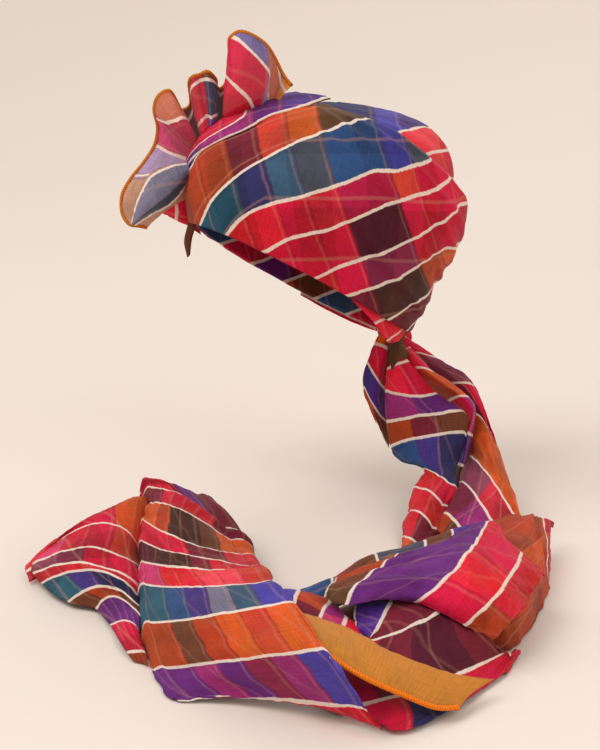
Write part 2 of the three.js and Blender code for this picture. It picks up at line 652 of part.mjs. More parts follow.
// Filled body of the inner winding with its surface stood off, to trim sheets that start on it.
function filledWinding(distance) {
  const stepsUp = 14;
  const low = -0.3;
  const columns = Math.round(360 / WINDING_STEP);
  const positions = [];
  const index = [];
  for (let i = 0; i <= stepsUp; i += 1) {
    const ring = low + ((TOP_RING - low) * i) / stepsUp;
    for (let j = 0; j < columns; j += 1) {
      const point = i < stepsUp ? standOff((360 * j) / columns, ring, distance)
        : windingPoint(0, TOP_RING).add(new THREE.Vector3(0, 0, distance));
      if (i < stepsUp || j === 0) positions.push(...point.toArray());
    }
  }
  positions.push(...windingPoint(0, 0).add(windingPoint(180, 0)).multiplyScalar(0.5).toArray());
  const top = columns * stepsUp;
  for (let j = 0; j < columns; j += 1) {
    const k = (j + 1) % columns;
    index.push(top + 1, k, j);
    for (let i = 0; i < stepsUp - 1; i += 1) {
      const [a, b] = [i * columns, (i + 1) * columns];
      index.push(a + j, a + k, b + k, a + j, b + k, b + j);
    }
    const last = (stepsUp - 1) * columns;
    index.push(last + j, last + k, top);
  }
  return solid(positions, index);
}

const manifold = await manifoldModule();
manifold.setup();

function solid(positions, index) {
  return new manifold.Manifold(new manifold.Mesh({
    numProp: 3,
    vertProperties: new Float32Array(positions),
    triVerts: new Uint32Array(index),
  }));
}

// The part of a sheet that lies outside the filled winding.
function trimmed(geometry, body) {
  const sheet = solid(geometry.getAttribute("position").array, geometry.getIndex().array);
  const kept = sheet.subtract(body).decompose();
  kept.sort((a, b) => b.volume() - a.volume());
  const cut = kept[0].getMesh();
  const result = new THREE.BufferGeometry();
  result.setAttribute("position", new THREE.BufferAttribute(cut.vertProperties.slice(), 3));
  result.setIndex(new THREE.BufferAttribute(cut.triVerts.slice(), 1));
  result.computeVertexNormals();
  return result;
}

const turban = new THREE.Group();
turban.name = "turban";
turban.add(innerWinding(), frontWrap(), sideWrap(), napeFold(), browFold(), napeKnot());
const clearances = {
  crest_fan: CREST_CLEAR,
  crest_roll: CREST_CLEAR,
  crest_lower: CREST_CLEAR,
  brow_tip: TIP_CLEAR,
};
for (const [name, sheet] of Object.entries(SHEETS)) {
  const whole = shell(drapeGrid(sheet), CLOTH, DRAPE_INSIDE);
  const clear = clearances[name];
  turban.add(mesh(name, clear ? trimmed(whole, filledWinding(clear)) : whole, sheet.colour));
}
turban.add(crestHem(), borderHem());

export default turban;
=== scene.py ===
"""Cloth, finishes, studio and camera of a plaid scarf wound into a head wrap.

The wrap has slanting windings round the crown, a fanned crest over the brow, and a long free end
that hangs from the nape and lies in a loose pile. Tables are in millimetres and degrees, and
Blender's lengths are metres. +Z is up, the face looks along -Y, and +X is the wearer's left.
"""

import logging
import math
from dataclasses import dataclass
from enum import Enum
from typing import Any, Sequence

import bmesh
import bpy
import numpy as np
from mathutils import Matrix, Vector


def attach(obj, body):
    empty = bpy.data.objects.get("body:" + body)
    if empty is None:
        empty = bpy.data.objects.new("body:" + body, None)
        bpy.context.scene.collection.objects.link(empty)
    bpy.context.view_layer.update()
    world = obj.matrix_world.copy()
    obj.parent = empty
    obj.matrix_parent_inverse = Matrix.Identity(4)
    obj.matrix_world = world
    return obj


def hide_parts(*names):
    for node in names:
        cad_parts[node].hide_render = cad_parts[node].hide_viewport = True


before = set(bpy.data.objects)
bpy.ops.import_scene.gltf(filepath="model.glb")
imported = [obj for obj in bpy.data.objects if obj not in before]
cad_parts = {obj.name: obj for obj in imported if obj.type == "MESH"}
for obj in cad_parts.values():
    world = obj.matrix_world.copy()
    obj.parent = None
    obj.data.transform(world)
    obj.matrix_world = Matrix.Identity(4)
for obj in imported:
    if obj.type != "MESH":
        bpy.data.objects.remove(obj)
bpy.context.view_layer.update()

log = logging.getLogger("head_wrap")

MM = 0.001
STRIPE = 2.6  # width of a white stripe
CLOTH = 0.8  # thickness of one layer of cloth
DRAPE_TURN = math.radians(45)  # crest and free end lie on axes turned this far from the head's
HEAD_RISE = 195.0  # height of the head opening above the floor
FLOOR_GAP = 0.3  # how close the cloth comes to the floor
NECK_OFFSET = 5.0  # the drape's upright axis stands this far before the opening's centre
RIM_LEAN = 0.15  # the rim drops this much for each millimetre towards the wearer's left
LEAN_FADES_AT = 4.0  # ring where that lean has died out
FRONT_NARROW = 0.12  # how much slimmer the winding is at the brow than behind
CROWN_CENTRE = (0.0, 20.0, 20.0)
KNOT_ANGLE = 176.0  # degrees round the head at which the outer windings' pleats run together
SEAM_ANGLE = 182.0  # where the two outer windings meet behind
CREASE_ROWS = 10  # a crease's place along a winding counts from 0 to this
RING_STEPS = 40  # steps from one ring of the inner winding to the next
RING_NUDGE = 0.03  # how far above and below a ring its slope is taken
CLOSEST_STRIPES = 0.05  # rings between two stripes at the least
PLAID_SIZES = (4.0, 400.0)  # smallest and largest zone or band
PLAID_BLUR = 3  # neighbours over which those sizes are evened out
FINEST_STEP = 0.3  # least step between two columns, for an edge that turns down
SMALLEST_SHEET = 0.01  # metres
FALL_STEPS = 6  # steps of an edge that turns down
FALL_ANGLE = math.radians(84)  # how far such an edge turns
TINY = 1e-6  # keeps a division from failing where two points meet

Pair = tuple[float, float]
Triple = tuple[float, float, float]
Table = Sequence[Sequence[float]]
Chart = dict[int, tuple["Dye", ...]]
Piece = bpy.types.Object
Socket = bpy.types.NodeSocket

# Rings of the inner winding, from a point over the brow to a point behind.
# Columns: brow y, brow z, back y, back z, half width.
RINGS: Table = (
    (-96, 56, 100, -58, 75),
    (-98, 78, 124, -28, 84),
    (-93, 96, 142, 10, 92),
    (-82, 113, 150, 48, 96),
    (-64, 127, 148, 80, 92),
    (-39, 138, 136, 107, 80),
    (-10, 144, 114, 127, 60),
    (19, 147, 88, 139, 33),
    (55, 146, 55, 146, 0),
)

# Edges of the outer windings. Columns: angle from the brow towards the wearer's left, lower edge
# and upper edge as ring numbers.
FRONT_WRAP_EDGES: Table = (
    (-60, 0.02, 1.0), (-48, 0.02, 1.7), (-17, 0.02, 3.1), (6, 0.02, 4.4), (14, 0.02, 5.3),
    (22, 0.02, 6.0), (32, 0.02, 6.65), (50, 0.02, 6.2), (70, 0.02, 5.65), (84, 0.02, 5.05),
    (92, 0.02, 4.6), (102, 0.02, 4.15), (116, 0.05, 3.75), (132, 0.1, 3.4), (150, 0.4, 2.95),
    (165, 0.8, 2.5), (180, 1.15, 2.05),
)
SIDE_WRAP_EDGES: Table = (
    (-192, 1.35, 1.95), (-160, 0.8, 2.6), (-140, 0.35, 3.2), (-120, 0.1, 3.8), (-105, 0.05, 4.5),
    (-90, 0.05, 5.4), (-75, 0.05, 6.0), (-60, 0.05, 5.9), (-48, 0.05, 5.3), (-36, 0.05, 4.3),
    (-24, 0.05, 3.2),
)
NAPE_FOLD_EDGES: Table = (
    (84, -0.03, 0.3), (100, -0.2, 0.45), (110, -0.36, 0.5), (120, -0.42, 0.5),
    (130, -0.26, 0.5), (140, -0.04, 0.5), (165, -0.04, 0.5), (195, -0.1, 0.5),
    (212, -0.1, 0.3), (228, -0.06, 0.1),
)
# The folded strip over the brow. Columns: ring, outer angle, inner angle.
BROW_FOLD_EDGES: Table = (
    (1.2, -51, -47), (1.7, -53, -39), (2.6, -50, -17), (3.9, -46, 6), (4.8, -53, 12),
    (5.4, -61, 21), (6.4, -72, 30), (6.8, -84, 36),
)

# White stripes on the windings. Columns: angle, then the ring that stripes 0 to 7 pass there.
WINDING_STRIPES: Table = (
    (-60, 0.2, -3, -5, -7, -9, -11, -13, -15),
    (-20, 2.3, -1.2, -3.4, -5.4, -7.4, -9.4, -11.4, -13.4),
    (0, 4.0, 0.5, -1.6, -3.4, -5.2, -7, -8.8, -10.6),
    (9, 5.3, 1.4, -0.7, -2.4, -4.0, -5.7, -7.4, -9),
    (18, 6.0, 2.4, 0.3, -1.5, -3.0, -4.6, -6.2, -7.8),
    (27, 7.0, 3.2, 1.1, -0.7, -2.2, -3.8, -5.3, -6.9),
    (36, 7.9, 3.9, 1.7, 0, -1.5, -3.0, -4.5, -6.0),
    (48, 8.2, 4.6, 2.3, 0.9, -0.9, -2.2, -3.6, -5),
    (60, 9.1, 5.2, 2.9, 1.5, -0.25, -1.4, -2.7, -4),
    (69, 9.6, 5.6, 3.42, 2.1, 0.6, -0.6, -1.9, -3.2),
    (78, 10, 6, 3.5, 2.65, 1.1, 0, -1.4, -2.6),
    (87, 10.4, 6.3, 3.75, 3.0, 1.55, 0.5, -0.9, -2.1),
    (96, 10.8, 6.6, 4.0, 3.2, 2.1, 0.95, -0.5, -1.6),
    (102, 11, 6.8, 4.2, 3.4, 2.4, 1.3, -0.2, -1.3),
    (111, 11.3, 7.1, 4.5, 3.7, 2.8, 1.8, 0.3, -0.8),
    (117, 11.6, 7.3, 4.7, 3.9, 3.1, 2.1, 0.8, -0.4),
    (132, 12, 7.8, 5, 4.0, 3.2, 2.3, 1.3, 0.3),
    (150, 12, 8, 5, 3.6, 2.9, 2.2, 1.5, 0.8),
    (180, 12, 8, 4, 2.3, 1.95, 1.65, 1.4, 1.2),
)
# Where the warp's zones change on the windings, along a slanting direction.
WINDING_SLANT = (1.0, 0.914, 0.443)
WINDING_FIRST_ZONE = -1.0
WINDING_ZONES = (-94.0, -56.0, -17.5, 19.9, 55.3, 89.7, 151.8, 178.0, 215.0, 252.0)
# Heights of the white stripes on the back lobe, along a direction of its own.
LOBE_SLANT = (-0.462, -0.117, 1.0)
LOBE_FIRST_BAND = -3.0
LOBE_STRIPES = (260.0, 230.0, 200.0, 86.0, 59.5, 33.0, 6.0, -21.0, -48.0, -75.0, -102.0)

# Drape tables, on the drape's own axes.
# Columns: start right, front, up; middle right, front, up; end right, front, up.
# A tenth column is how far the end turns down.
CREST_FAN: Table = (
    (-24, 14, 338, -16, 18, 349, -7, 20, 360),
    (-27, 10, 336, -21, 8, 351, -14, 8, 368),
    (-30, 10, 336, -25, 14, 361, -21, 10, 382),
    (-36, 16, 334, -26, 28, 365, -28, 18, 393),
    (-43, 20, 332, -36, 38, 367, -39, 24, 401),
    (-50, 22, 329, -46, 42, 366, -49, 28, 404),
    (-58, 22, 325, -56, 38, 364, -56, 28, 400),
    (-65, 16, 320, -62, 22, 360, -58, 22, 394),
    (-67, 2, 320, -64, -4, 346, -59, -6, 366),
    (-69, 2, 318, -68, -6, 339, -66, -10, 355),
    (-70, 8, 317, -69, 0, 341, -70, -4, 357),
    (-71, 16, 317, -68, 16, 344, -70, 8, 364),
    (-74, 20, 317, -73, 26, 345, -76, 18, 371),
    (-76, 18, 315, -78, 20, 343, -83, 14, 368),
    (-78, 20, 314, -83, 24, 340, -88, 18, 367),
    (-81, 14, 312, -88, 12, 337, -92, 8, 361),
    (-82, 0, 311, -88, -6, 327, -92, -8, 342),
    (-83, 0, 309, -92, -6, 323, -100, -8, 337),
    (-84, 10, 308, -91, 8, 327, -102, 2, 343),
    (-83, 18, 307, -94, 24, 332, -108, 14, 355),
    (-84, 20, 306, -99, 30, 329, -117, 16, 351),
    (-85, 20, 303, -102, 26, 321, -121, 14, 340),
    (-86, 16, 300, -103, 14, 311, -119, 6, 324),
    (-87, 14, 296, -105, 12, 302, -122, 6, 309),
    (-88, 16, 293, -110, 18, 293, -131, 12, 295),
    (-88, 20, 290, -115, 26, 286, -141, 20, 283),
    (-89, 22, 285, -118, 32, 278, -148, 26, 270),
    (-89, 22, 280, -119, 36, 271, -148, 30, 256),
    (-89, 22, 275, -117, 38, 264, -142, 34, 247),
    (-89, 20, 272, -113, 34, 260, -134, 32, 245),
    (-90, 18, 268, -110, 28, 258, -128, 28, 243),
)
CREST_ROLL: Table = (
    (-139, 50, 250, -138, 51, 249, -135, 50, 248),
    (-135, 50, 265, -130, 56, 260, -123, 52, 256),
    (-130, 48, 279, -121, 58, 270, -113, 52, 261),
    (-122, 44, 291, -112, 56, 278, -103, 48, 267),
    (-107, 40, 297, -100, 50, 287, -95, 42, 277),
    (-92, 32, 298, -90, 38, 293, -90, 34, 288),
)
CREST_LOWER: Table = (
    (-126, 12, 257, -123, 12, 255, -119, 12, 254),
    (-114, 12, 262, -112, 16, 257, -111, 12, 251),
    (-101, 12, 272, -100, 18, 263, -101, 12, 248),
    (-92, 10, 280, -92, 14, 266, -93, 10, 246),
)
BROW_TIP: Table = (
    (-90, 42, 256, -87, 45, 255, -84, 45, 252),
    (-93, 43, 247, -89, 46, 247, -85, 46, 249),
    (-96, 43, 234, -92, 47, 236, -89, 46, 237),
    (-94, 43, 222, -93, 45, 221, -91, 44, 223),
)
TAIL_LEFT: Table = (
    (76, -40, 150, 80, -38, 149, 86, -40, 147),
    (73, -37, 142, 77, -35, 140, 82, -37, 138),
    (67, -34, 129, 74, -31, 127, 81, -34, 122),
    (60, -30, 113, 66, -24, 102, 73, -28, 92),
    (57, -22, 92, 64, -16, 79, 72, -18, 67),
    (68, -14, 63, 72, -10, 54, 76, -10, 46),
)
TAIL_TUCK: Table = (
    (82, -30, 148, 86, -27, 146, 91, -30, 144),
    (81, -26, 140, 84, -23, 137, 88, -26, 134),
    (80, -24, 128, 85, -19, 129, 91, -22, 126),
    (79, -22, 112, 84, -17, 115, 92, -23, 115),
    (78, -19, 104, 82, -15, 106, 86, -19, 108),
)
TAIL_CENTER: Table = (
    (78, -22, 112, 85, -19, 117, 92, -24, 119, 2),
    (77, -11, 92, 96, 1, 91, 119, -8, 91, 4),
    (77, 0, 68, 105, 13, 76, 138, 1, 78, 9),
    (80, 8, 48, 109, 23, 61, 140, 10, 61, 8),
    (88, 17, 38, 113, 38, 42, 134, 26, 38, 4),
    (107, 38, 36, 118, 62, 37, 128, 68, 31, 6),
    (97, 62, 27, 108, 86, 31, 118, 92, 21, 8),
    (89, 96, 16, 98, 116, 22, 108, 122, 12, 8),
    (83, 132, 8, 88, 152, 13, 96, 150, 7, 6),
    (82, 150, 4, 86, 164, 7, 92, 162, 4, 4),
)
TAIL_ROLL: Table = (
    (92, -36, 124, 94, -35, 125, 97, -38, 126),
    (99, -25, 108, 107, -17, 112, 117, -26, 107),
    (118, -19, 94, 122, -9, 101, 129, -21, 100),
    (134, -13, 84, 141, -5, 89, 148, -14, 86),
    (148, -8, 70, 151, -2, 76, 154, -8, 77),
    (145, 0, 57, 147, 7, 58, 151, 2, 55),
    (139, 14, 33, 141, 22, 34, 144, 16, 30),
    (136, 22, 22, 138, 26, 22, 140, 22, 20),
    (135, 29, 13, 137, 32, 13, 139, 29, 11),
)
TAIL_OUTER: Table = (
    (88, -56, 132, 91, -55, 132, 95, -56, 130),
    (101, -50, 118, 111, -46, 117, 121, -50, 114),
    (134, -40, 91, 144, -36, 93, 154, -40, 90),
    (154, -24, 68, 165, -12, 61, 174, 10, 40),
    (152, 0, 44, 165, 50, 45, 178, 136, 27),
    (149, 10, 38, 160, 78, 38, 178, 156, 20),
    (137, 66, 33, 145, 108, 33, 160, 164, 16),
    (118, 112, 20, 124, 130, 22, 138, 166, 12),
    (110, 130, 12, 114, 146, 14, 126, 170, 8),
)
TAIL_REST: Table = (
    (84, 170, 3, 100, 164, 8, 117, 152, 4),
    (80, 191, 3, 97, 182, 8, 116, 170, 3),
    (78, 208, 2.5, 90, 197, 6, 108, 184, 2.5),
    (84, 232, 2.5, 100, 224, 8, 122, 206, 4),
    (92, 258, 2.5, 108, 250, 10, 130, 236, 5),
)
PILE_BACK: Table = (
    (-19, 362, 26, -21, 338, 41, -24, 290, 4),
    (0, 366, 26, -1, 342, 42, 0, 288, 4),
    (23, 356, 34, 22, 327, 46, 24, 270, 4),
    (55, 322, 34, 54, 286, 48, 52, 240, 4),
    (90, 292, 34, 91, 261, 50, 90, 212, 4),
    (112, 278, 34, 113, 239, 50, 112, 195, 4),
    (132, 252, 32, 135, 212, 47, 130, 180, 4),
)
PILE_SWIRL: Table = (
    (17, 372, 50, 20, 361, 53, 24, 344, 52),
    (31, 388, 51, 45, 360, 60, 74, 311, 58),
    (56, 378, 51, 78, 353, 63, 106, 285, 60),
    (79, 376, 47, 108, 349, 63, 141, 238, 58),
    (98, 383, 42, 125, 362, 58, 151, 268, 54),
    (111, 388, 36, 135, 368, 52, 159, 288, 50),
    (118, 385, 31, 142, 362, 45, 165, 288, 44),
    (128, 380, 18, 152, 350, 32, 176, 284, 34),
)
PILE_FOLD: Table = (
    (124, 358, 6, 136, 316, 30, 144, 188, 38),
    (139, 357, 4, 150, 321, 34, 160, 182, 40),
    (155, 336, 4, 165, 292, 33, 180, 171, 39),
    (176, 275, 4, 180, 242, 27, 187, 167, 36),
    (189, 222, 5, 190, 196, 23, 193, 161, 33),
    (197, 174, 5, 200, 159, 14, 203, 142, 24),
)
PILE_LEFT: Table = (
    (-21, 352, 47, -22, 366, 47, -23, 372, 38),
    (-1, 352, 45, -3, 370, 47, -6, 384, 40),
    (20, 366, 43, 15, 386, 44, 10, 400, 37),
    (31, 378, 38, 30, 390, 38, 24, 404, 32),
    (42, 384, 33, 41, 397, 31, 34, 410, 24),
)
PILE_FRONT: Table = (
    (36, 384, 38, 37, 370, 43, 42, 345, 47),
    (50, 396, 34, 58, 378, 42, 68, 345, 49),
    (43, 403, 30, 74, 396, 38, 106, 362, 43),
    (28, 437, 20, 72, 417, 26, 124, 382, 25),
    (37, 455, 9, 82, 434, 12, 139, 378, 11),
    (42, 462, 5, 88, 447, 6, 149, 360, 5),
    (55, 477, 2.5, 82, 465, 2.5, 136, 392, 2.5),
)
BORDER: Table = (
    (-19, 396, 61, -20, 384, 60, -22, 369, 57),
    (-6, 440, 61, -5, 429, 60, -4, 414, 57),
    (8, 463, 54, 10, 452, 57, 12, 421, 54),
    (25, 471, 44, 28, 456, 50, 30, 426, 49),
    (43, 473, 34, 48, 459, 39, 52, 438, 41),
    (64, 468, 22, 71, 457, 27, 78, 440, 30),
    (85, 463, 11, 93, 451, 16, 101, 434, 20),
    (101, 455, 7, 112, 440, 11, 126, 424, 12),
)
TAIL_BAND: Table = (
    (-115, 100, 5, -92, 98, 6, -62, 128, 5, 4),
    (-122, 128, 54, -104, 145, 56, -83, 133, 44, 22),
    (-119, 138, 51, -87, 179, 55, -58, 185, 33, 22),
    (-117, 162, 46, -88, 215, 57, -53, 209, 31, 24),
    (-120, 196, 43, -84, 273, 54, -42, 248, 33, 24),
    (-117, 237, 40, -78, 307, 54, -36, 294, 43, 18),
    (-113, 273, 37, -75, 331, 54, -28, 335, 56, 8),
    (-110, 302, 31, -64, 369, 55, -21, 382, 66, 4),
    (-102, 352, 22, -56, 408, 50, -6, 432, 69, 4),
    (-89, 394, 7, -38, 443, 34, 14, 478, 56, 5),
    (-71, 428, 4, -13, 448, 10, 40, 482, 18, 2),
    (-62, 433, 3, -6, 448, 6, 50, 486, 7, 1),
)
TAIL_LEAF: Table = (
    (-206, 222, 3, -161, 150, 3, -122, 90, 4),
    (-211, 206, 8, -166, 188, 40, -128, 132, 42),
    (-203, 202, 15, -158, 205, 43, -127, 212, 34),
    (-206, 206, 11, -160, 245, 38, -125, 251, 30),
    (-204, 218, 8, -158, 266, 34, -122, 281, 26),
    (-196, 232, 5, -153, 275, 32, -122, 290, 24),
    (-171, 268, 4, -144, 282, 22, -119, 305, 20),
    (-149, 279, 3, -135, 290, 17, -118, 314, 18),
    (-136, 309, 3, -123, 324, 12, -114, 335, 12),
    (-119, 358, 3, -111, 361, 6, -106, 362, 6),
    (-114, 368, 2, -108, 372, 2, -104, 376, 2),
)


class Dye(Enum):
    """Colours of the yarn, as sRGB hex values."""

    WHITE = "f2e4d6"
    ROSE = "c8386c"
    MAGENTA = "982a72"
    PURPLE = "682478"
    VIOLET = "522a8a"
    INDIGO = "41307c"
    BLUE_VIOLET = "4a3fa0"
    ROYAL = "3a3788"
    BLUE = "2a4a7c"
    DEEP_BLUE = "24447e"
    NAVY = "2c2c5e"
    STEEL = "365470"
    TEAL = "26566c"
    DARK_TEAL = "1e4c62"
    SLATE = "4a4f60"
    GREY_VIOLET = "77748c"
    LILAC = "a88fb4"
    LAVENDER = "7868a4"
    OLIVE = "5c3c20"
    BROWN = "6a3a24"
    DARK_BROWN = "45221c"
    RUST = "ac3d18"
    ORANGE = "d2561c"
    ORANGE_RED = "c8402a"
    AMBER = "ef9a38"
    HEM_ORANGE = "d4761a"
    BRIGHT_HEM = "f87e00"
    HONEY = "d4852f"
    DULL_HONEY = "a8742e"
    PEACH = "c89478"
    CORAL = "e23c46"
    SALMON = "c26a52"
    RED = "cc1c2c"
    BRIGHT_RED = "de1c36"
    SCARLET = "cc2136"
    CRIMSON = "cc1038"
    DEEP_CRIMSON = "b01440"
    PINK = "d43a66"
    MAUVE = "8c3a54"
    PLUM = "862246"
    MAROON = "741c2e"
    DARK_MAROON = "541428"

    @property
    def linear(self) -> tuple[float, float, float, float]:
        """The colour as a linear value, by the sRGB curve.

        Returns:
            Red, green, blue and alpha.
        """
        parts = [int(self.value[i : i + 2], 16) / 255 for i in (0, 2, 4)]
        red, green, blue = (
            c / 12.92 if c <= 0.04045 else ((c + 0.055) / 1.055) ** 2.4 for c in parts
        )
        return red, green, blue, 1.0


class Held(Enum):
    """How a sheet of cloth is held."""

    DRAPED = "draped"
    HUNG = "hung"
    GATHERED = "gathered"
    LAID = "laid"
    FOLDED = "folded"
    STRETCHED = "stretched"


class Lumps(Enum):
    """Noise over cloth: lumps on a millimetre across and along it, and octaves of detail."""

    SWAY = (0.045, 0.045, 3.0)
    STRIPE_EDGE = (0.5, 0.5, 1.0)
    POLISH = (0.2, 0.2, 2.0)
    WEFT = (0.05, 0.75, 2.0)
    WARP = (0.75, 0.05, 2.0)
    GRAIN = (1.3, 1.3, 1.0)
    CLOUD = (0.03, 0.03, 2.0)
    FINE_WEFT = (0.05, 1.1, 2.0)
    FINE_WARP = (1.1, 0.05, 2.0)
    RICH_CLOUD = (0.03, 0.03, 3.0)
    STITCH_JITTER = (0.4, 0.4, 2.0)
    STITCH_TINT = (0.2, 0.12, 2.0)


class Number:
    """A number in a shader tree. Python's operators on it add Math nodes."""

    def __init__(self, shader: "Shader", socket: Socket) -> None:
        """Wraps an output socket.

        Args:
            shader: The tree's builder.
            socket: The output that carries the number.
        """
        self.shader = shader
        self.socket = socket

    def maths(self, operation: str, *terms: "Number | float") -> "Number":
        """Adds a Math node.

        Args:
            operation: The node's operation.
            terms: Its inputs, in order.

        Returns:
            The node's result.
        """
        inputs = dict(enumerate(terms))
        return self.shader.number("ShaderNodeMath", {"operation": operation}, inputs)

    def __add__(self, other: "Number | float") -> "Number":
        """Sum."""
        return self.maths("ADD", self, other)

    __radd__ = __add__

    def __sub__(self, other: "Number | float") -> "Number":
        """Difference."""
        return self.maths("SUBTRACT", self, other)

    def __rsub__(self, other: float) -> "Number":
        """Difference from a plain number."""
        return self.maths("SUBTRACT", other, self)

    def __mul__(self, other: "Number | float") -> "Number":
        """Product."""
        return self.maths("MULTIPLY", self, other)

    __rmul__ = __mul__

    def __truediv__(self, other: "Number | float") -> "Number":
        """Quotient."""
        return self.maths("DIVIDE", self, other)

    def __rtruediv__(self, other: float) -> "Number":
        """Quotient of a plain number."""
        return self.maths("DIVIDE", other, self)

    def __abs__(self) -> "Number":
        """Size without its sign."""
        return self.maths("ABSOLUTE", self)

    def __gt__(self, other: "Number | float") -> "Number":
        """1 where it is greater, else 0."""
        return self.maths("GREATER_THAN", self, other)

    def nearest(self) -> "Number":
        """The nearest whole number."""
        return self.maths("FLOOR", self + 0.5)

    def fraction(self) -> "Number":
        """The part above the whole number below it."""
        return self.maths("FRACT", self)

    def fading(self, full: float, gone: float) -> "Number":
        """1 up to one value, falling evenly to 0 at another.

        Args:
            full: Where the result is still 1.
            gone: Where it has reached 0.

        Returns:
            The share, held between 0 and 1.
        """
        share = (gone - self) * (1 / (gone - full))
        return self.shader.number(
            "ShaderNodeMath", {"operation": "ADD", "use_clamp": True}, {0: share, 1: 0.0}
        )


class Shader:
    """Builds the node tree of one material."""

    def __init__(self, name: str) -> None:
        """Starts an empty tree with a Principled shader.

        Args:
            name: The material's name.
        """
        self.material = bpy.data.materials.new(name)
        self.material.use_nodes = True
        self.tree = self.material.node_tree
        self.tree.nodes.clear()
        self.surface = self.node("ShaderNodeBsdfPrincipled")
        self.node("ShaderNodeOutputMaterial", {}, {"Surface": self.surface.outputs[0]})

    def node(
        self,
        kind: str,
        settings: dict[str, Any] | None = None,
        inputs: dict[str | int, Any] | None = None,
    ) -> bpy.types.Node:
        """Adds any node.

        Args:
            kind: The node's type.
            settings: Its properties, set first. "stops" fills a colour ramp.
            inputs: Values or links of its sockets, by name or place.

        Returns:
            The node.
        """
        made = self.tree.nodes.new(kind)
        for key, value in (settings or {}).items():
            if key == "stops":
                self._fill_ramp(made.color_ramp, value)
            else:
                setattr(made, key, value)
        for key, value in (inputs or {}).items():
            source = value.socket if isinstance(value, Number) else value
            if isinstance(source, Socket):
                self.tree.links.new(source, made.inputs[key])
            else:
                made.inputs[key].default_value = source
        return made

    @staticmethod
    def _fill_ramp(ramp: bpy.types.ColorRamp, stops: Sequence[tuple[float, Any]]) -> None:
        """Gives a ramp its stops.

        Args:
            ramp: The colour ramp.
            stops: Pairs of position and linear colour.
        """
        while len(ramp.elements) < len(stops):
            ramp.elements.new(1.0)
        for element, (position, colour) in zip(ramp.elements, stops):
            element.position = position
            element.color = colour

    def number(self, kind: str, settings: dict[str, Any], inputs: dict[Any, Any]) -> Number:
        """Adds a node and returns its first output as a number."""
        return Number(self, self.node(kind, settings, inputs).outputs[0])

    def pair(self, uv_map: str) -> tuple[Number, Number]:
        """Reads a UV map.

        Args:
            uv_map: The map's name.

        Returns:
            Its two coordinates.
        """
        uv = self.node("ShaderNodeUVMap", {"uv_map": uv_map})
        parts = self.node("ShaderNodeSeparateXYZ", {}, {0: uv.outputs[0]})
        return Number(self, parts.outputs[0]), Number(self, parts.outputs[1])

    def noise(self, x: Number, y: Number, lumps: Lumps) -> Number:
        """Smooth noise over the cloth.

        Args:
            x: Millimetres across.
            y: Millimetres along.
            lumps: How many lumps it has.

        Returns:
            Values round 0.5.
        """
        across, along, detail = lumps.value
        place = self.node("ShaderNodeCombineXYZ", {}, {0: x * across, 1: y * along})
        return self.number(
            "ShaderNodeTexNoise",
            {"noise_dimensions": "2D"},
            {"Vector": place.outputs[0], "Scale": 1.0, "Detail": detail},
        )

    def mixed(self, base: Any, over: Any, share: Number | float) -> Socket:
        """Lays one colour over another.

        Args:
            base: Colour or its socket.
            over: Colour or its socket on top.
            share: How much of the upper colour shows.

        Returns:
            The resulting colour.
        """
        made = self.node(
            "ShaderNodeMix", {"data_type": "RGBA"}, {0: share, 6: base, 7: over}
        )
        return made.outputs[2]

    def brightened(self, colour: Any, factor: Number) -> Socket:
        """Scales a colour.

        Args:
            colour: Colour or its socket.
            factor: What it is multiplied by.

        Returns:
            The resulting colour.
        """
        base = colour[:3] if isinstance(colour, tuple) else colour
        made = self.node(
            "ShaderNodeVectorMath", {"operation": "SCALE"}, {0: base, "Scale": factor}
        )
        return made.outputs[0]

    def bump(self, height: Number, strength: float, distance: float) -> None:
        """Raises the surface by a height map.

        Args:
            height: Relief from 0 to 1.
            strength: How strongly it shows.
            distance: Height of 1 in metres.
        """
        made = self.node(
            "ShaderNodeBump", {}, {"Height": height, "Strength": strength, "Distance": distance}
        )
        self.tree.links.new(made.outputs[0], self.surface.inputs["Normal"])

    def feed(self, socket: str, source: Any) -> None:
        """Links a source to a socket of the surface shader."""
        plug = source.socket if isinstance(source, Number) else source
        self.tree.links.new(plug, self.surface.inputs[socket])

    def settle(self, values: dict[str, Any]) -> None:
        """Sets sockets of the surface shader to values of their own."""
        for socket, value in values.items():
            self.surface.inputs[socket].default_value = value


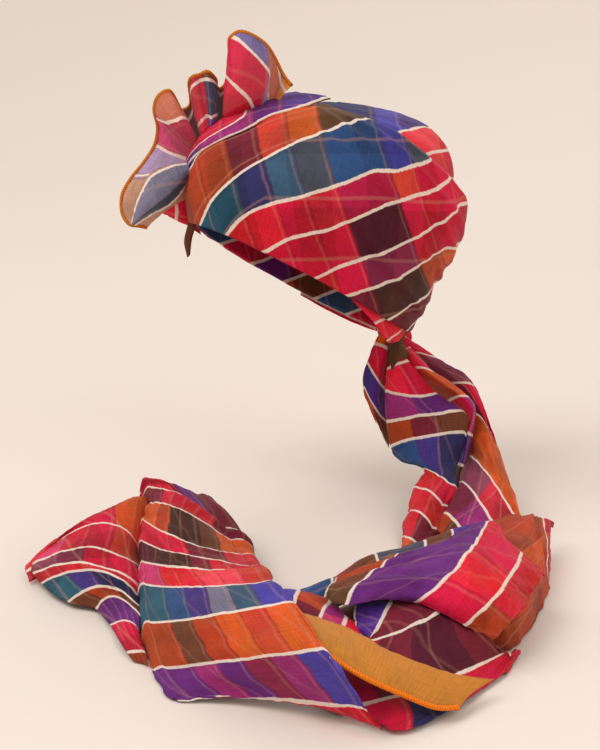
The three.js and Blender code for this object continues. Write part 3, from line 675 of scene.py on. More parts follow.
@dataclass(frozen=True)
class Plaid:
    """Madras plaid: crosswise bands of colour parted by white stripes, each band dyed in zones."""

    name: str
    chart: Chart
    alpha: float = 1.0
    ghost: float = 0.1  # how strongly a layer beneath shows through
    ghost_turn: float = 62.0  # degrees between the two layers' threads
    ghost_checks: Pair = (61.0, 83.0)  # sizes of its checks
    ghost_stripes: float = 47.0  # from one of its stripes to the next
    ghost_shade: float = 0.9
    stripe: float = STRIPE
    stripe_cover: float = 0.88
    zone_sway: float = 3.0  # how far an edge between two zones wanders
    band_sway: float = 2.4
    zone_blur: float = 0.004  # half the width of such an edge, as a share of the chart
    stripe_edge: Pair = (0.1, 0.7)  # where a stripe's edge starts and ends
    stripe_wander: float = 0.6  # how far that edge wanders
    warp_gap: float = 3.4  # from a dark warp line to the pale one beside it
    dark_warp: Triple = (0.15, 0.8, 0.45)  # full to, gone at, strength
    pale_warp: Triple = (0.6, 1.5, 0.17)
    pale_ghost: Pair = (0.8, 2.0)  # where the lower layer's stripe is full and gone
    yarn_share: float = 0.38  # weight of either yarn in the weave
    grain_share: float = 0.24
    shadow: float = 0.3  # brightness of a thread in its darkest place
    yarn_light: float = 1.05
    cloud_light: float = 0.38
    hue: Triple = (0.495, 0.01, 0.003)  # base, for clouds, for checks
    white_light: Pair = (0.6, 0.6)  # a stripe's brightness, and the weave's part
    roughness: Pair = (0.62, 0.16)  # base, and how much it varies
    sheen: float = 0.05
    sheen_roughness: float = 0.45
    specular: float = 0.16
    relief: float = 0.5
    relief_height: float = 0.6

    def dress(self, zones: Pair) -> bpy.types.Material:
        """Builds the material.

        Args:
            zones: First and last zone coordinate that the chart's lists spread over.

        Returns:
            The material.
        """
        shader = Shader(self.name)
        zone, band = shader.pair("plaid")
        x, y = shader.pair("thread")
        zone_mm, band_mm = shader.pair("gauge")
        sway = shader.noise(x, y, Lumps.SWAY) - 0.5
        zone = zone + sway * self.zone_sway / zone_mm
        band = band + sway * self.band_sway / band_mm

        colour = self._bands(shader, zone, band, zones)
        colour = self._warp_lines(shader, colour, zone, zone_mm)
        colour, weave = self._weave(shader, colour, x, y)
        colour = self._stripes(shader, colour, band, band_mm, weave, x, y)

        shader.feed("Base Color", colour)
        polish = shader.noise(x, y, Lumps.POLISH)
        shader.feed("Roughness", polish * self.roughness[1] + self.roughness[0])
        shader.settle({
            "Sheen Weight": self.sheen, "Sheen Roughness": self.sheen_roughness,
            "Specular IOR Level": self.specular, "Alpha": self.alpha,
        })
        shader.bump(weave, self.relief, self.relief_height * MM)
        return shader.material

    def _bands(self, shader: Shader, zone: Number, band: Number, zones: Pair) -> Socket:
        """Colours of the bands, one ramp over the zones for each.

        Args:
            shader: The material's builder.
            zone: Coordinate along the bands.
            band: Coordinate over the bands, whole at white stripes.
            zones: First and last zone coordinate of the chart.

        Returns:
            The colour.
        """
        share = (zone - zones[0]) * (1 / (zones[1] - zones[0]))
        colour = None
        for first in sorted(self.chart):
            dyes = self.chart[first]
            stops = [(0.0, dyes[0].linear)]
            for i, (left, right) in enumerate(zip(dyes, dyes[1:]), start=1):
                at = i / len(dyes)
                if left is not right:
                    stops += [(at - self.zone_blur, left.linear)]
                    stops += [(at + self.zone_blur, right.linear)]
            stops += [(1.0, dyes[-1].linear)]
            ramp = shader.node("ShaderNodeValToRGB", {"stops": stops}, {0: share})
            if colour is None:
                colour = ramp.outputs[0]
            else:
                colour = shader.mixed(colour, ramp.outputs[0], band > float(first))
        return colour

    def _warp_lines(self, shader: Shader, colour: Any, zone: Number, zone_mm: Number) -> Socket:
        """Thin dark line at each change of zone, with a paler one beside it.

        Args:
            shader: The material's builder.
            colour: Colour so far.
            zone: Coordinate along the bands, whole where zones change.
            zone_mm: Millimetres for one zone.

        Returns:
            The colour.
        """
        offset = (zone - zone.nearest()) * zone_mm
        pale = abs(offset + self.warp_gap).fading(*self.pale_warp[:2])
        dark = abs(offset).fading(*self.dark_warp[:2])
        colour = shader.mixed(colour, Dye.PEACH.linear, pale * self.pale_warp[2])
        return shader.mixed(colour, Dye.DARK_MAROON.linear, dark * self.dark_warp[2])

    def _weave(self, shader: Shader, colour: Any, x: Number, y: Number) -> tuple[Socket, Number]:
        """Uneven yarn both ways, and the plaid of the layer beneath.

        Args:
            shader: The material's builder.
            colour: Colour so far.
            x: Millimetres across the cloth.
            y: Millimetres along the cloth.

        Returns:
            The colour, and the weave's relief.
        """
        weft = shader.noise(x, y, Lumps.WEFT)
        warp = shader.noise(x, y, Lumps.WARP)
        grain = shader.noise(x, y, Lumps.GRAIN)
        cloudy = shader.noise(x, y, Lumps.CLOUD)
        turn = math.radians(self.ghost_turn)
        u = x * math.cos(turn) + y * math.sin(turn)
        v = y * math.cos(turn) - x * math.sin(turn)
        wide, high = self.ghost_checks
        check = ((u * (1 / wide)).fraction() > 0.5) + ((v * (1 / high)).fraction() > 0.5)
        line = abs((v * (1 / self.ghost_stripes)).fraction() - 0.5) * self.ghost_stripes
        pale = line.fading(*self.pale_ghost)
        weave = (weft + warp) * self.yarn_share + grain * self.grain_share
        yarn = weave * self.yarn_light + cloudy * self.cloud_light
        factor = self.shadow + yarn + check * (-self.ghost_shade * self.ghost)
        base, for_clouds, for_checks = self.hue
        hue = base + cloudy * for_clouds + (check - 1) * for_checks
        tinted = shader.node(
            "ShaderNodeHueSaturation", {}, {"Hue": hue, "Saturation": 1.0, "Color": colour}
        )
        colour = shader.brightened(tinted.outputs[0], factor)
        return shader.mixed(colour, Dye.PEACH.linear, pale * self.ghost), weave

    def _stripes(
        self,
        shader: Shader,
        colour: Any,
        band: Number,
        band_mm: Number,
        weave: Number,
        x: Number,
        y: Number,
    ) -> Socket:
        """White stripes between the bands, with slightly ragged edges.

        Args:
            shader: The material's builder.
            colour: Colour so far.
            band: Coordinate over the bands, whole at white stripes.
            band_mm: Millimetres for one band.
            weave: The weave's relief.
            x: Millimetres across the cloth.
            y: Millimetres along the cloth.

        Returns:
            The colour.
        """
        away = abs(band - band.nearest()) * band_mm
        ragged = shader.noise(x, y, Lumps.STRIPE_EDGE) * self.stripe_wander
        full, gone = (self.stripe / 2 + edge for edge in self.stripe_edge)
        white = (away + ragged).fading(full, gone)
        light = self.white_light[0] + weave * self.white_light[1]
        soft_white = shader.brightened(Dye.WHITE.linear, light)
        return shader.mixed(colour, soft_white, white * self.stripe_cover)


@dataclass(frozen=True)
class PlainCloth:
    """Cloth of one dye with uneven yarn."""

    name: str
    dye: Dye
    shade: Dye
    shade_share: float = 0.7
    shadow: float = 0.5  # brightness of a thread in its darkest place
    yarn_light: float = 0.85
    roughness: Pair = (0.6, 0.2)  # base, and how much it varies
    sheen: float = 0.05
    specular: float = 0.16
    relief: float = 0.4
    relief_height: float = 0.4

    def dress(self, zones: Pair) -> bpy.types.Material:
        """Builds the material.

        Args:
            zones: Not used, since there is one dye.

        Returns:
            The material.
        """
        shader = Shader(self.name)
        x, y = shader.pair("thread")
        weft = shader.noise(x, y, Lumps.FINE_WEFT)
        warp = shader.noise(x, y, Lumps.FINE_WARP)
        cloudy = shader.noise(x, y, Lumps.RICH_CLOUD)
        weave = (weft + warp) * 0.5
        colour = shader.mixed(self.dye.linear, self.shade.linear, cloudy * self.shade_share)
        light = self.shadow + weave * self.yarn_light
        shader.feed("Base Color", shader.brightened(colour, light))
        shader.feed("Roughness", cloudy * self.roughness[1] + self.roughness[0])
        shader.settle({"Sheen Weight": self.sheen, "Specular IOR Level": self.specular})
        shader.bump(weave, self.relief, self.relief_height * MM)
        return shader.material


@dataclass(frozen=True)
class Overlock:
    """Overlock stitching: bright yarn wound over an edge, with darker gaps between its turns."""

    name: str
    yarn: Dye = Dye.HEM_ORANGE
    gap_dye: Dye = Dye.DARK_BROWN
    gap_share: float = 0.6
    gap_width: Pair = (0.06, 0.2)  # where a gap is full and gone, in stitches
    pitch: float = 1.9  # from one stitch to the next
    slant: float = 0.12  # stitches for each millimetre across
    wander: float = 0.8
    tint_share: float = 0.15
    roughness: Pair = (0.5, 0.2)  # base, and how much it varies
    specular: float = 0.2
    relief: float = 0.8
    relief_height: float = 0.6

    def dress(self, zones: Pair) -> bpy.types.Material:
        """Builds the material.

        Args:
            zones: Not used, since a hem has no zones.

        Returns:
            The material.
        """
        shader = Shader(self.name)
        x, y = shader.pair("thread")
        jitter = shader.noise(x, y, Lumps.STITCH_JITTER)
        phase = (y * (1 / self.pitch) + x * self.slant + jitter * self.wander).fraction()
        gap = abs(phase - 0.5).fading(*self.gap_width)
        tint = shader.noise(x, y, Lumps.STITCH_TINT)
        yarn = shader.mixed(self.yarn.linear, Dye.AMBER.linear, tint * self.tint_share)
        colour = shader.mixed(yarn, self.gap_dye.linear, gap * self.gap_share)
        shader.feed("Base Color", colour)
        shader.feed("Roughness", tint * self.roughness[1] + self.roughness[0])
        shader.settle({"Specular IOR Level": self.specular})
        shader.bump(1 - gap, self.relief, self.relief_height * MM)
        return shader.material


@dataclass
class Grid:
    """Points of a sheet of cloth with its plaid coordinates, row by row."""

    points: np.ndarray  # rows by columns by 3, in millimetres
    zone: np.ndarray
    band: np.ndarray
    closed: bool = False  # the last column meets the first

    def along(self) -> np.ndarray:
        """Steps from each row to the next, as vectors at every point."""
        return np.gradient(self.points, axis=0)

    def across(self) -> np.ndarray:
        """Steps from each column to the next, as vectors at every point.

        Returns:
            The vectors.
        """
        if not self.closed:
            return np.gradient(self.points, axis=1)
        return (np.roll(self.points, -1, 1) - np.roll(self.points, 1, 1)) / 2

    def normals(self, inside: np.ndarray) -> np.ndarray:
        """Unit normals that face away from a point inside.

        Args:
            inside: A point behind the cloth.

        Returns:
            One normal for each point.
        """
        normal = np.cross(self.across(), self.along())
        size = np.linalg.norm(normal, axis=2, keepdims=True)
        normal = normal / np.maximum(size, TINY)
        facing = np.sum(normal * (self.points - inside))
        return normal if facing >= 0 else -normal

    def measured(self) -> tuple[np.ndarray, np.ndarray]:
        """Distances over the cloth from its first row and column.

        Returns:
            Millimetres across and along, at every point.
        """
        right = np.linalg.norm(np.diff(self.points, axis=1), axis=2)
        down = np.linalg.norm(np.diff(self.points, axis=0), axis=2)
        x = np.concatenate([np.zeros((len(right), 1)), np.cumsum(right, axis=1)], axis=1)
        x = x - x.mean(axis=1, keepdims=True)
        y = np.concatenate([[0.0], np.cumsum(down.mean(axis=1))])
        return x, np.repeat(y[:, None], x.shape[1], axis=1)

    def flat_size(self) -> Pair:
        """Size of the flat cloth: its mean width and the length that gives its area.

        Returns:
            Width and length in metres, SMALLEST_SHEET at the least.
        """
        p = self.points
        first = np.cross(p[1:, :-1] - p[:-1, :-1], p[:-1, 1:] - p[:-1, :-1])
        second = np.cross(p[1:, :-1] - p[1:, 1:], p[:-1, 1:] - p[1:, 1:])
        area = (np.linalg.norm(first, axis=2).sum() + np.linalg.norm(second, axis=2).sum()) / 2
        width = np.linalg.norm(np.diff(p, axis=1), axis=2).sum(axis=1).mean()
        length = area / width
        return max(float(width * MM), SMALLEST_SHEET), max(float(length * MM), SMALLEST_SHEET)

    def gauge(self) -> tuple[np.ndarray, np.ndarray]:
        """Measures how large the plaid lies on the cloth.

        Returns:
            Millimetres for one zone and for one band, at every point.
        """
        along = np.maximum(np.linalg.norm(self.along(), axis=2), TINY)
        across = np.maximum(np.linalg.norm(self.across(), axis=2), TINY)
        sizes = []
        for coordinate in (self.zone, self.band):
            row_change, column_change = np.gradient(coordinate)
            slope = np.hypot(row_change / along, column_change / across)
            size = np.clip(1 / np.maximum(slope, TINY), *PLAID_SIZES)
            sizes.append(blurred(size, PLAID_BLUR))
        return sizes[0], sizes[1]

    def mirrored(self) -> "Grid":
        """The same grid with its columns in the opposite order."""
        return Grid(self.points[:, ::-1], self.zone[:, ::-1], self.band[:, ::-1], self.closed)

    def turned_down(self, fall: np.ndarray) -> "Grid":
        """Adds cloth that turns down past the last column, in nearly a quarter of a circle.

        Args:
            fall: How far it turns down in each row.

        Returns:
            The wider grid.
        """
        if fall.max() <= 0:
            return self
        edge, inner = self.points[:, -1], self.points[:, -3]
        out = (edge - inner)[:, :2]
        out = out / np.maximum(np.linalg.norm(out, axis=1, keepdims=True), TINY)
        spacing = np.maximum(np.linalg.norm(edge - inner, axis=1) / 2, FINEST_STEP)
        zone_step = self.zone[:, -1] - self.zone[:, -2]
        strips, zones = [], []
        for step in range(1, FALL_STEPS + 1):
            angle = FALL_ANGLE * step / FALL_STEPS
            run, drop = fall * math.sin(angle), fall * (1 - math.cos(angle))
            strips.append(edge + np.column_stack([out * run[:, None], -drop]))
            zones.append(self.zone[:, -1] + zone_step * fall * angle / spacing)
        bands = np.repeat(self.band[:, -1:], FALL_STEPS, axis=1)
        return Grid(
            np.concatenate([self.points, np.stack(strips, 1)], 1),
            np.concatenate([self.zone, np.stack(zones, 1)], 1),
            np.concatenate([self.band, bands], 1),
        )


@dataclass(frozen=True)
class Crease:
    """Soft ridge or valley from one place of a winding to another."""

    row: float  # along the winding, from 0 to CREASE_ROWS
    share: float  # over the winding, from 0 at its lower edge to 1
    end_row: float
    end_share: float
    width: float
    height: float
    at_ends: float = 0.35  # height at its two ends, as a share
    taper_stops: Pair = (0.02, 0.98)  # places along it at which the taper stops

    def relief(
        self, row: np.ndarray, share: np.ndarray, row_mm: float, share_mm: float
    ) -> np.ndarray:
        """Height of the crease over a winding.

        Args:
            row: Place of every point along the winding.
            share: Place of every point over it.
            row_mm: Millimetres for one row.
            share_mm: Millimetres for a whole share.

        Returns:
            Heights in millimetres.
        """
        y, x = (row - self.row) * row_mm, (share - self.share) * share_mm
        run_y = (self.end_row - self.row) * row_mm
        run_x = (self.end_share - self.share) * share_mm
        u = np.clip((y * run_y + x * run_x) / (run_y**2 + run_x**2), 0, 1)
        taper = self.at_ends + (1 - self.at_ends) * np.sin(np.pi * np.clip(u, *self.taper_stops))
        return self.height * taper * bell(np.hypot(y - u * run_y, x - u * run_x), 0, self.width)


@dataclass(frozen=True)
class Ripple:
    """Loose waves over a sheet, with a seed for their drift."""

    height: float
    length: float
    slant: float = 0.0  # degrees
    seed: int = 1
    octaves: int = 5
    shorter: float = 0.86  # length of each octave beside that of the one before
    weaker: float = 0.8  # its height beside that of the one before
    bend: float = 6.0  # how far the crests wander
    bend_length: float = 3.1  # length of that wander beside the wave's own
    gain: float = 1.8  # makes up for octaves that cancel one another
    spread: Pair = (0.55, 1.6)  # shortest and longest that an octave may be, as a share
    turning: float = 0.5  # radians that an octave may turn either way
    side_run: float = 0.6  # how fast the wander changes across, beside along
    phases: Pair = (6.0, 6.28)  # how far the wander and the wave may start off

    def relief(self, x: np.ndarray, y: np.ndarray) -> np.ndarray:
        """Height of the waves.

        Args:
            x: Millimetres across.
            y: Millimetres along.

        Returns:
            Heights in millimetres.
        """
        drift = np.random.default_rng(self.seed)
        total = np.zeros_like(x)
        weight = 0.0
        for octave in range(self.octaves):
            angle = math.radians(self.slant) + drift.uniform(-self.turning, self.turning)
            length = self.length * drift.uniform(*self.spread) * self.shorter**octave
            turn = 2 * math.pi * (y + x * self.side_run) / (length * self.bend_length)
            bend = self.bend * np.sin(turn + drift.uniform(0, self.phases[0]))
            run = x * math.cos(angle) + y * math.sin(angle) + bend
            size = self.weaker**octave
            phase = drift.uniform(0, self.phases[1])
            total += size * np.sin(2 * math.pi * run / length + phase)
            weight += size
        return self.height * total / weight * self.gain


def spline_rows(table: Table, steps: int) -> np.ndarray:
    """Smooth curve through the rows of a table.

    Args:
        table: The rows.
        steps: Steps between two rows.

    Returns:
        The finer rows.
    """
    rows = np.array(table, float)
    count = len(rows) - 1
    place = np.linspace(0, count, count * steps + 1)
    index = np.clip(np.floor(place).astype(int), 0, count - 1)
    u = (place - index)[:, None]
    padded = np.vstack([2 * rows[0] - rows[1], rows, 2 * rows[-1] - rows[-2]])
    before, here = padded[index], padded[index + 1]
    after, beyond = padded[index + 2], padded[index + 3]
    slope, slope_next, rise = (after - before) / 2, (beyond - here) / 2, after - here
    return here + u * (
        slope + u * (3 * rise - 2 * slope - slope_next + u * (slope + slope_next - 2 * rise))
    )


def line_rows(table: Table, at: np.ndarray) -> np.ndarray:
    """Straight runs between the rows of a table whose first column rises.

    Args:
        table: The rows.
        at: Values of the first column.

    Returns:
        The other columns there, one after the other.
    """
    rows = np.array(table, float)
    return np.stack([np.interp(at, rows[:, 0], rows[:, k]) for k in range(1, rows.shape[1])])


def blurred(values: np.ndarray, reach: int) -> np.ndarray:
    """Mean over a square of neighbours.

    Args:
        values: The values of a grid.
        reach: Neighbours on each side.

    Returns:
        The smoother values.
    """
    padded = np.pad(values, reach, mode="edge")
    span = 2 * reach + 1
    rows = sum(padded[k : k + values.shape[0]] for k in range(span)) / span
    return sum(rows[:, k : k + values.shape[1]] for k in range(span)) / span


def bell(value: np.ndarray, centre: float, reach: float) -> np.ndarray:
    """Bell curve of height 1."""
    return np.exp(-(((value - centre) / reach) ** 2))


def smooth_step(value: np.ndarray, low: float, high: float) -> np.ndarray:
    """Rises smoothly from 0 at one value to 1 at another."""
    t = np.clip((value - low) / (high - low), 0, 1)
    return t * t * (3 - 2 * t)


def drape_to_wrap(points: np.ndarray) -> np.ndarray:
    """Moves points from the drape's axes to the wrap's.

    Args:
        points: Millimetres to the right, to the front and up from the floor.

    Returns:
        Millimetres along the wrap's own axes.
    """
    right, front, up = np.moveaxis(points, -1, 0)
    cos, sin = math.cos(DRAPE_TURN), math.sin(DRAPE_TURN)
    return np.stack(
        [right * cos + front * sin, right * sin - front * cos + NECK_OFFSET, up - HEAD_RISE],
        axis=-1,
    )


def winding_points(angle: np.ndarray, ring: np.ndarray) -> np.ndarray:
    """Points of the inner winding.

    Args:
        angle: Degrees round the head from the brow.
        ring: Ring numbers.

    Returns:
        Points in millimetres.
    """
    fine = spline_rows(RINGS, RING_STEPS)
    place = np.linspace(0, len(RINGS) - 1, len(fine))
    low = (ring < 0)[..., None]
    columns = np.stack([np.interp(ring, place, fine[:, k]) for k in range(5)], axis=-1)
    first_slope = (fine[1] - fine[0]) / (place[1] - place[0])
    columns = np.where(low, fine[0] + first_slope * ring[..., None], columns)
    brow_y, brow_z, back_y, back_z, half = np.moveaxis(columns, -1, 0)
    c, s = np.cos(np.radians(angle)), np.sin(np.radians(angle))
    x = half * s * (1 - FRONT_NARROW * c)
    lean = RIM_LEAN * x * np.maximum(0, 1 - ring / LEAN_FADES_AT)
    return np.stack(
        [
            x,
            (brow_y + back_y) / 2 - (back_y - brow_y) / 2 * c,
            (brow_z + back_z) / 2 - (back_z - brow_z) / 2 * c - lean,
        ],
        axis=-1,
    )


def stand_off(angle: np.ndarray, ring: np.ndarray, distance: np.ndarray) -> np.ndarray:
    """Points stood off the inner winding.

    Args:
        angle: Degrees round the head from the brow.
        ring: Ring numbers.
        distance: Millimetres off the winding.

    Returns:
        Points in millimetres.
    """
    top = np.minimum(ring + RING_NUDGE, len(RINGS) - 1)
    around = winding_points(angle + 1, ring) - winding_points(angle - 1, ring)
    upward = winding_points(angle, top) - winding_points(angle, top - 2 * RING_NUDGE)
    out = np.cross(around, upward)
    out = out / np.maximum(np.linalg.norm(out, axis=-1, keepdims=True), TINY)
    return winding_points(angle, ring) + out * distance[..., None]


def winding_band(angle: np.ndarray, ring: np.ndarray) -> np.ndarray:
    """Band coordinate of the plaid on the windings, whole at its white stripes.

    Args:
        angle: Degrees round the head from the brow.
        ring: Ring numbers.

    Returns:
        The coordinate of every point.
    """
    crossings = np.moveaxis(line_rows(WINDING_STRIPES, angle), 0, -1)
    index = np.sum(crossings > ring[..., None], axis=-1)
    index = np.clip(index, 1, crossings.shape[-1] - 1)
    above = np.take_along_axis(crossings, (index - 1)[..., None], -1)[..., 0]
    below = np.take_along_axis(crossings, index[..., None], -1)[..., 0]
    return index - 1 + (above - ring) / np.maximum(above - below, CLOSEST_STRIPES)


def winding_zone(points: np.ndarray) -> np.ndarray:
    """Zone coordinate of the plaid on the windings."""
    zones = np.arange(len(WINDING_ZONES)) + WINDING_FIRST_ZONE
    return np.interp(points @ np.array(WINDING_SLANT), WINDING_ZONES, zones)


def lobe_band(points: np.ndarray) -> np.ndarray:
    """Band coordinate of the plaid on the back lobe."""
    bands = np.arange(len(LOBE_STRIPES)) + LOBE_FIRST_BAND
    return np.interp(points @ np.array(LOBE_SLANT), LOBE_STRIPES[::-1], bands[::-1])


def quads(rows: int, columns: int, closed: bool) -> list[np.ndarray]:
    """Corners of a grid's faces.

    Args:
        rows: The grid's rows.
        columns: Its columns.
        closed: Whether the last column meets the first.

    Returns:
        Four arrays of point numbers, in order round the faces.
    """
    ids = np.arange(rows * columns).reshape(rows, columns)
    if closed:
        right = np.roll(ids, -1, axis=1)
        return [ids[:-1], right[:-1], right[1:], ids[1:]]
    return [ids[:-1, :-1], ids[:-1, 1:], ids[1:, 1:], ids[1:, :-1]]


def smooth_object(name: str, points: np.ndarray, corners: list[np.ndarray]) -> Piece:
    """Makes a smooth mesh object.

    Args:
        name: The object's name.
        points: Its points in metres.
        corners: Corners of its faces.

    Returns:
        The object.
    """
    faces = np.stack([corner.ravel() for corner in corners], axis=1)
    mesh = bpy.data.meshes.new(name)
    mesh.from_pydata(points.reshape(-1, 3).tolist(), [], faces.tolist())
    mesh.polygons.foreach_set("use_smooth", np.ones(len(mesh.polygons), dtype=bool))
    made = bpy.data.objects.new(name, mesh)
    bpy.context.scene.collection.objects.link(made)
    return made


def cloth_object(name: str, grid: Grid, inside: np.ndarray, thickness: float) -> Piece:
    """Turns a grid into a mesh object with its UV maps.

    Args:
        name: The object's name.
        grid: Points in millimetres and their plaid coordinates.
        inside: A point behind the cloth.
        thickness: Thickness in millimetres, laid inwards. 0 leaves a single layer.

    Returns:
        The object.
    """
    corners = quads(*grid.zone.shape, grid.closed)
    facing = np.cross(grid.across(), grid.along()) * (grid.points - inside)
    piece = smooth_object(name, grid.points * MM, corners if facing.sum() >= 0 else corners[::-1])
    mesh = piece.data
    loops = np.zeros(len(mesh.loops), dtype=np.int32)
    mesh.loops.foreach_get("vertex_index", loops)
    maps = {"plaid": (grid.zone, grid.band), "thread": grid.measured(), "gauge": grid.gauge()}
    for label, (u, v) in maps.items():
        layer = mesh.uv_layers.new(name=label)
        values = np.stack([u.ravel()[loops], v.ravel()[loops]], axis=1)
        layer.data.foreach_set("uv", values.astype(np.float32).ravel())
    mesh.validate()
    if thickness > 0:
        solid = piece.modifiers.new("cloth", "SOLIDIFY")
        solid.thickness = thickness * MM
        solid.offset = -1.0
    return piece


def tied(piece: Piece, node: str) -> None:
    """Ties a piece to the frame, in place of one solid.

    Args:
        piece: The piece.
        node: The solid.
    """
    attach(piece, "root")
    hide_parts(node)


@dataclass
class Sheet:
    """A sheet of cloth that stands for one solid, with its shape, creases and finish."""

    node: str
    finish: Plaid | PlainCloth
    held: Held
    rests_on: tuple[str, ...] = ()
    zones: Pair = (0.0, 1.0)
    creases: tuple[Crease, ...] = ()
    ripples: tuple[Ripple, ...] = ()
    thickness: float = CLOTH
    inside: Triple = (60.0, 150.0, -260.0)  # a point behind the cloth
    table: Table = ()
    bands: Sequence[float | Pair] = ()  # each row's band, or its two ends' bands
    zone_rows: Table = ()  # rows at which zones begin, where zones run along the sheet
    steps: int = 10  # from one row of the table to the next
    columns: int = 44
    reach: Pair = (0.0, 1.0)  # where a row starts and ends, past its own ends
    falls: Pair = (0.0, 0.0)  # how far its two edges turn down

    def grid(self) -> Grid:
        """Shape of the sheet from its table.

        Returns:
            The grid before its creases.
        """
        rows = spline_rows(self.table, self.steps)
        t = np.linspace(self.reach[0], self.reach[1], self.columns + 1)
        # A row is a parabola through its start, middle and end.
        weights = np.stack([2 * (t - 0.5) * (t - 1), 4 * t * (1 - t), 2 * t * (t - 0.5)])
        legs = rows[:, :9].reshape(-1, 3, 3)
        points = np.einsum("rkc,kt->rtc", legs, weights)
        place = np.linspace(0, len(self.table) - 1, len(rows))
        pairs = np.array([b if isinstance(b, tuple) else (b, b) for b in self.bands], float)
        ends = [np.interp(place, np.arange(len(pairs)), pairs[:, k]) for k in (0, 1)]
        band = ends[0][:, None] * (1 - t) + ends[1][:, None] * t
        zone = np.repeat(t[None, :] * self.zones[1], len(rows), axis=0)
        if self.zone_rows:
            marks = np.array(self.zone_rows, float)
            zone = np.repeat(np.interp(place, marks[:, 0], marks[:, 1])[:, None], len(t), axis=1)
        first_fall, last_fall = (np.full(len(rows), fall) for fall in self.falls)
        if rows.shape[1] > 9:
            last_fall = rows[:, 9]
        wider = Grid(points, zone, band).turned_down(last_fall)
        return wider.mirrored().turned_down(first_fall).mirrored()

    def placed(self, grid: Grid) -> Grid:
        """The grid on the wrap's own axes, in millimetres."""
        grid.points = drape_to_wrap(grid.points)
        return grid

    def creased(self, grid: Grid) -> Grid:
        """Raises the sheet's creases and ripples.

        Args:
            grid: The placed grid.

        Returns:
            The same grid, moved along its normals.
        """
        rows, columns = grid.zone.shape
        row = np.linspace(0, CREASE_ROWS, rows)[:, None]
        share = np.linspace(0, 1, columns)[None, :]
        width, length = grid.flat_size()
        height = np.zeros((rows, columns))
        for crease in self.creases:
            height += crease.relief(row, share, length / MM / CREASE_ROWS, width / MM)
        x, y = grid.measured()
        for ripple in self.ripples:
            height += ripple.relief(x, y)
        normal = grid.normals(np.array(self.inside))
        grid.points = grid.points + normal * height[..., None]
        lowest = self.thickness + FLOOR_GAP - HEAD_RISE
        grid.points[..., 2] = np.maximum(grid.points[..., 2], lowest)
        return grid

    def build(self) -> Piece:
        """Makes the sheet and dresses it.

        Returns:
            The piece.
        """
        grid = self.creased(self.placed(self.grid()))
        piece = cloth_object(self.node + "_cloth", grid, np.array(self.inside), self.thickness)
        self.dress(piece, grid)
        return piece

    def dress(self, piece: Piece, grid: Grid) -> None:
        """Args:
            piece: The sheet.
            grid: The shape that it was made from.
        """
        piece.data.materials.append(self.finish.dress(self.zones))
        tied(piece, self.node)
        width, length = grid.flat_size()
        log.info("%s: %.0f by %.0f mm of cloth", piece.name, width / MM, length / MM)


@dataclass
class Winding(Sheet):
    """A winding of the crown, between two edges given by angle."""

    held: Held = Held.STRETCHED
    rests_on: tuple[str, ...] = ("crown_wrap_cloth",)
    zones: Pair = (-1.0, 7.0)
    inside: Triple = CROWN_CENTRE
    edges: Table = ()
    stand: float = 0.0
    swells: Table = ()  # angle, its reach, ring, its reach, height
    angle_step: float = 2.0
    tuck: float = 3.0  # how far the upper edge turns in
    tuck_from: float = 0.95  # share at which it starts to
    on_right: bool = False  # its stripes mirror those of the left side

    def grid(self) -> Grid:
        """Shape of the winding, stood off the inner one.

        Returns:
            The grid.
        """
        start, end = self.edges[0][0], self.edges[-1][0]
        angles = np.arange(start, end + self.angle_step / 2, self.angle_step)
        low, high = line_rows(self.edges, angles)
        share = np.linspace(0, 1, self.columns + 1)
        ring = low[:, None] + (high - low)[:, None] * share[None, :]
        angle = np.repeat(angles[:, None], len(share), axis=1)
        tuck = smooth_step(share, self.tuck_from, 1.0)[None, :] * self.tuck
        distance = self.stand - tuck + self.relief(angle, ring, np.broadcast_to(share, ring.shape))
        points = stand_off(angle, ring, distance)
        left_angle = -angle if self.on_right else angle
        return Grid(points, winding_zone(points), winding_band(left_angle, ring))

    def relief(self, angle: np.ndarray, ring: np.ndarray, share: np.ndarray) -> np.ndarray:
        """Height of the winding's swellings.

        Args:
            angle: Degrees round the head.
            ring: Ring numbers.
            share: Not used here; place from the lower edge, 0, to the upper one, 1.

        Returns:
            Millimetres.
        """
        total = np.zeros_like(ring)
        for at, reach, level, span, height in self.swells:
            total += height * bell(angle, at, reach) * bell(ring, level, span)
        return total

    def placed(self, grid: Grid) -> Grid:
        """The grid is on the wrap's own axes already."""
        return grid


@dataclass
class GatheredWinding(Winding):
    """A winding whose pleats run together at the knot behind."""

    pleats: int = 9
    pleat_depth: float = 1.3
    pleat_reach: float = 42.0  # degrees

    def relief(self, angle: np.ndarray, ring: np.ndarray, share: np.ndarray) -> np.ndarray:
        """Height of the swellings and of the pleats at the nape.

        Args:
            angle: Degrees round the head.
            ring: Ring numbers.
            share: Place from the lower edge, 0, to the upper one, 1.

        Returns:
            Millimetres.
        """
        near = bell(angle, -KNOT_ANGLE if self.on_right else KNOT_ANGLE, self.pleat_reach)
        pleats = near * np.cos(share * self.pleats * math.pi) * (1 - share * share)
        return super().relief(angle, ring, share) + self.pleat_depth * pleats


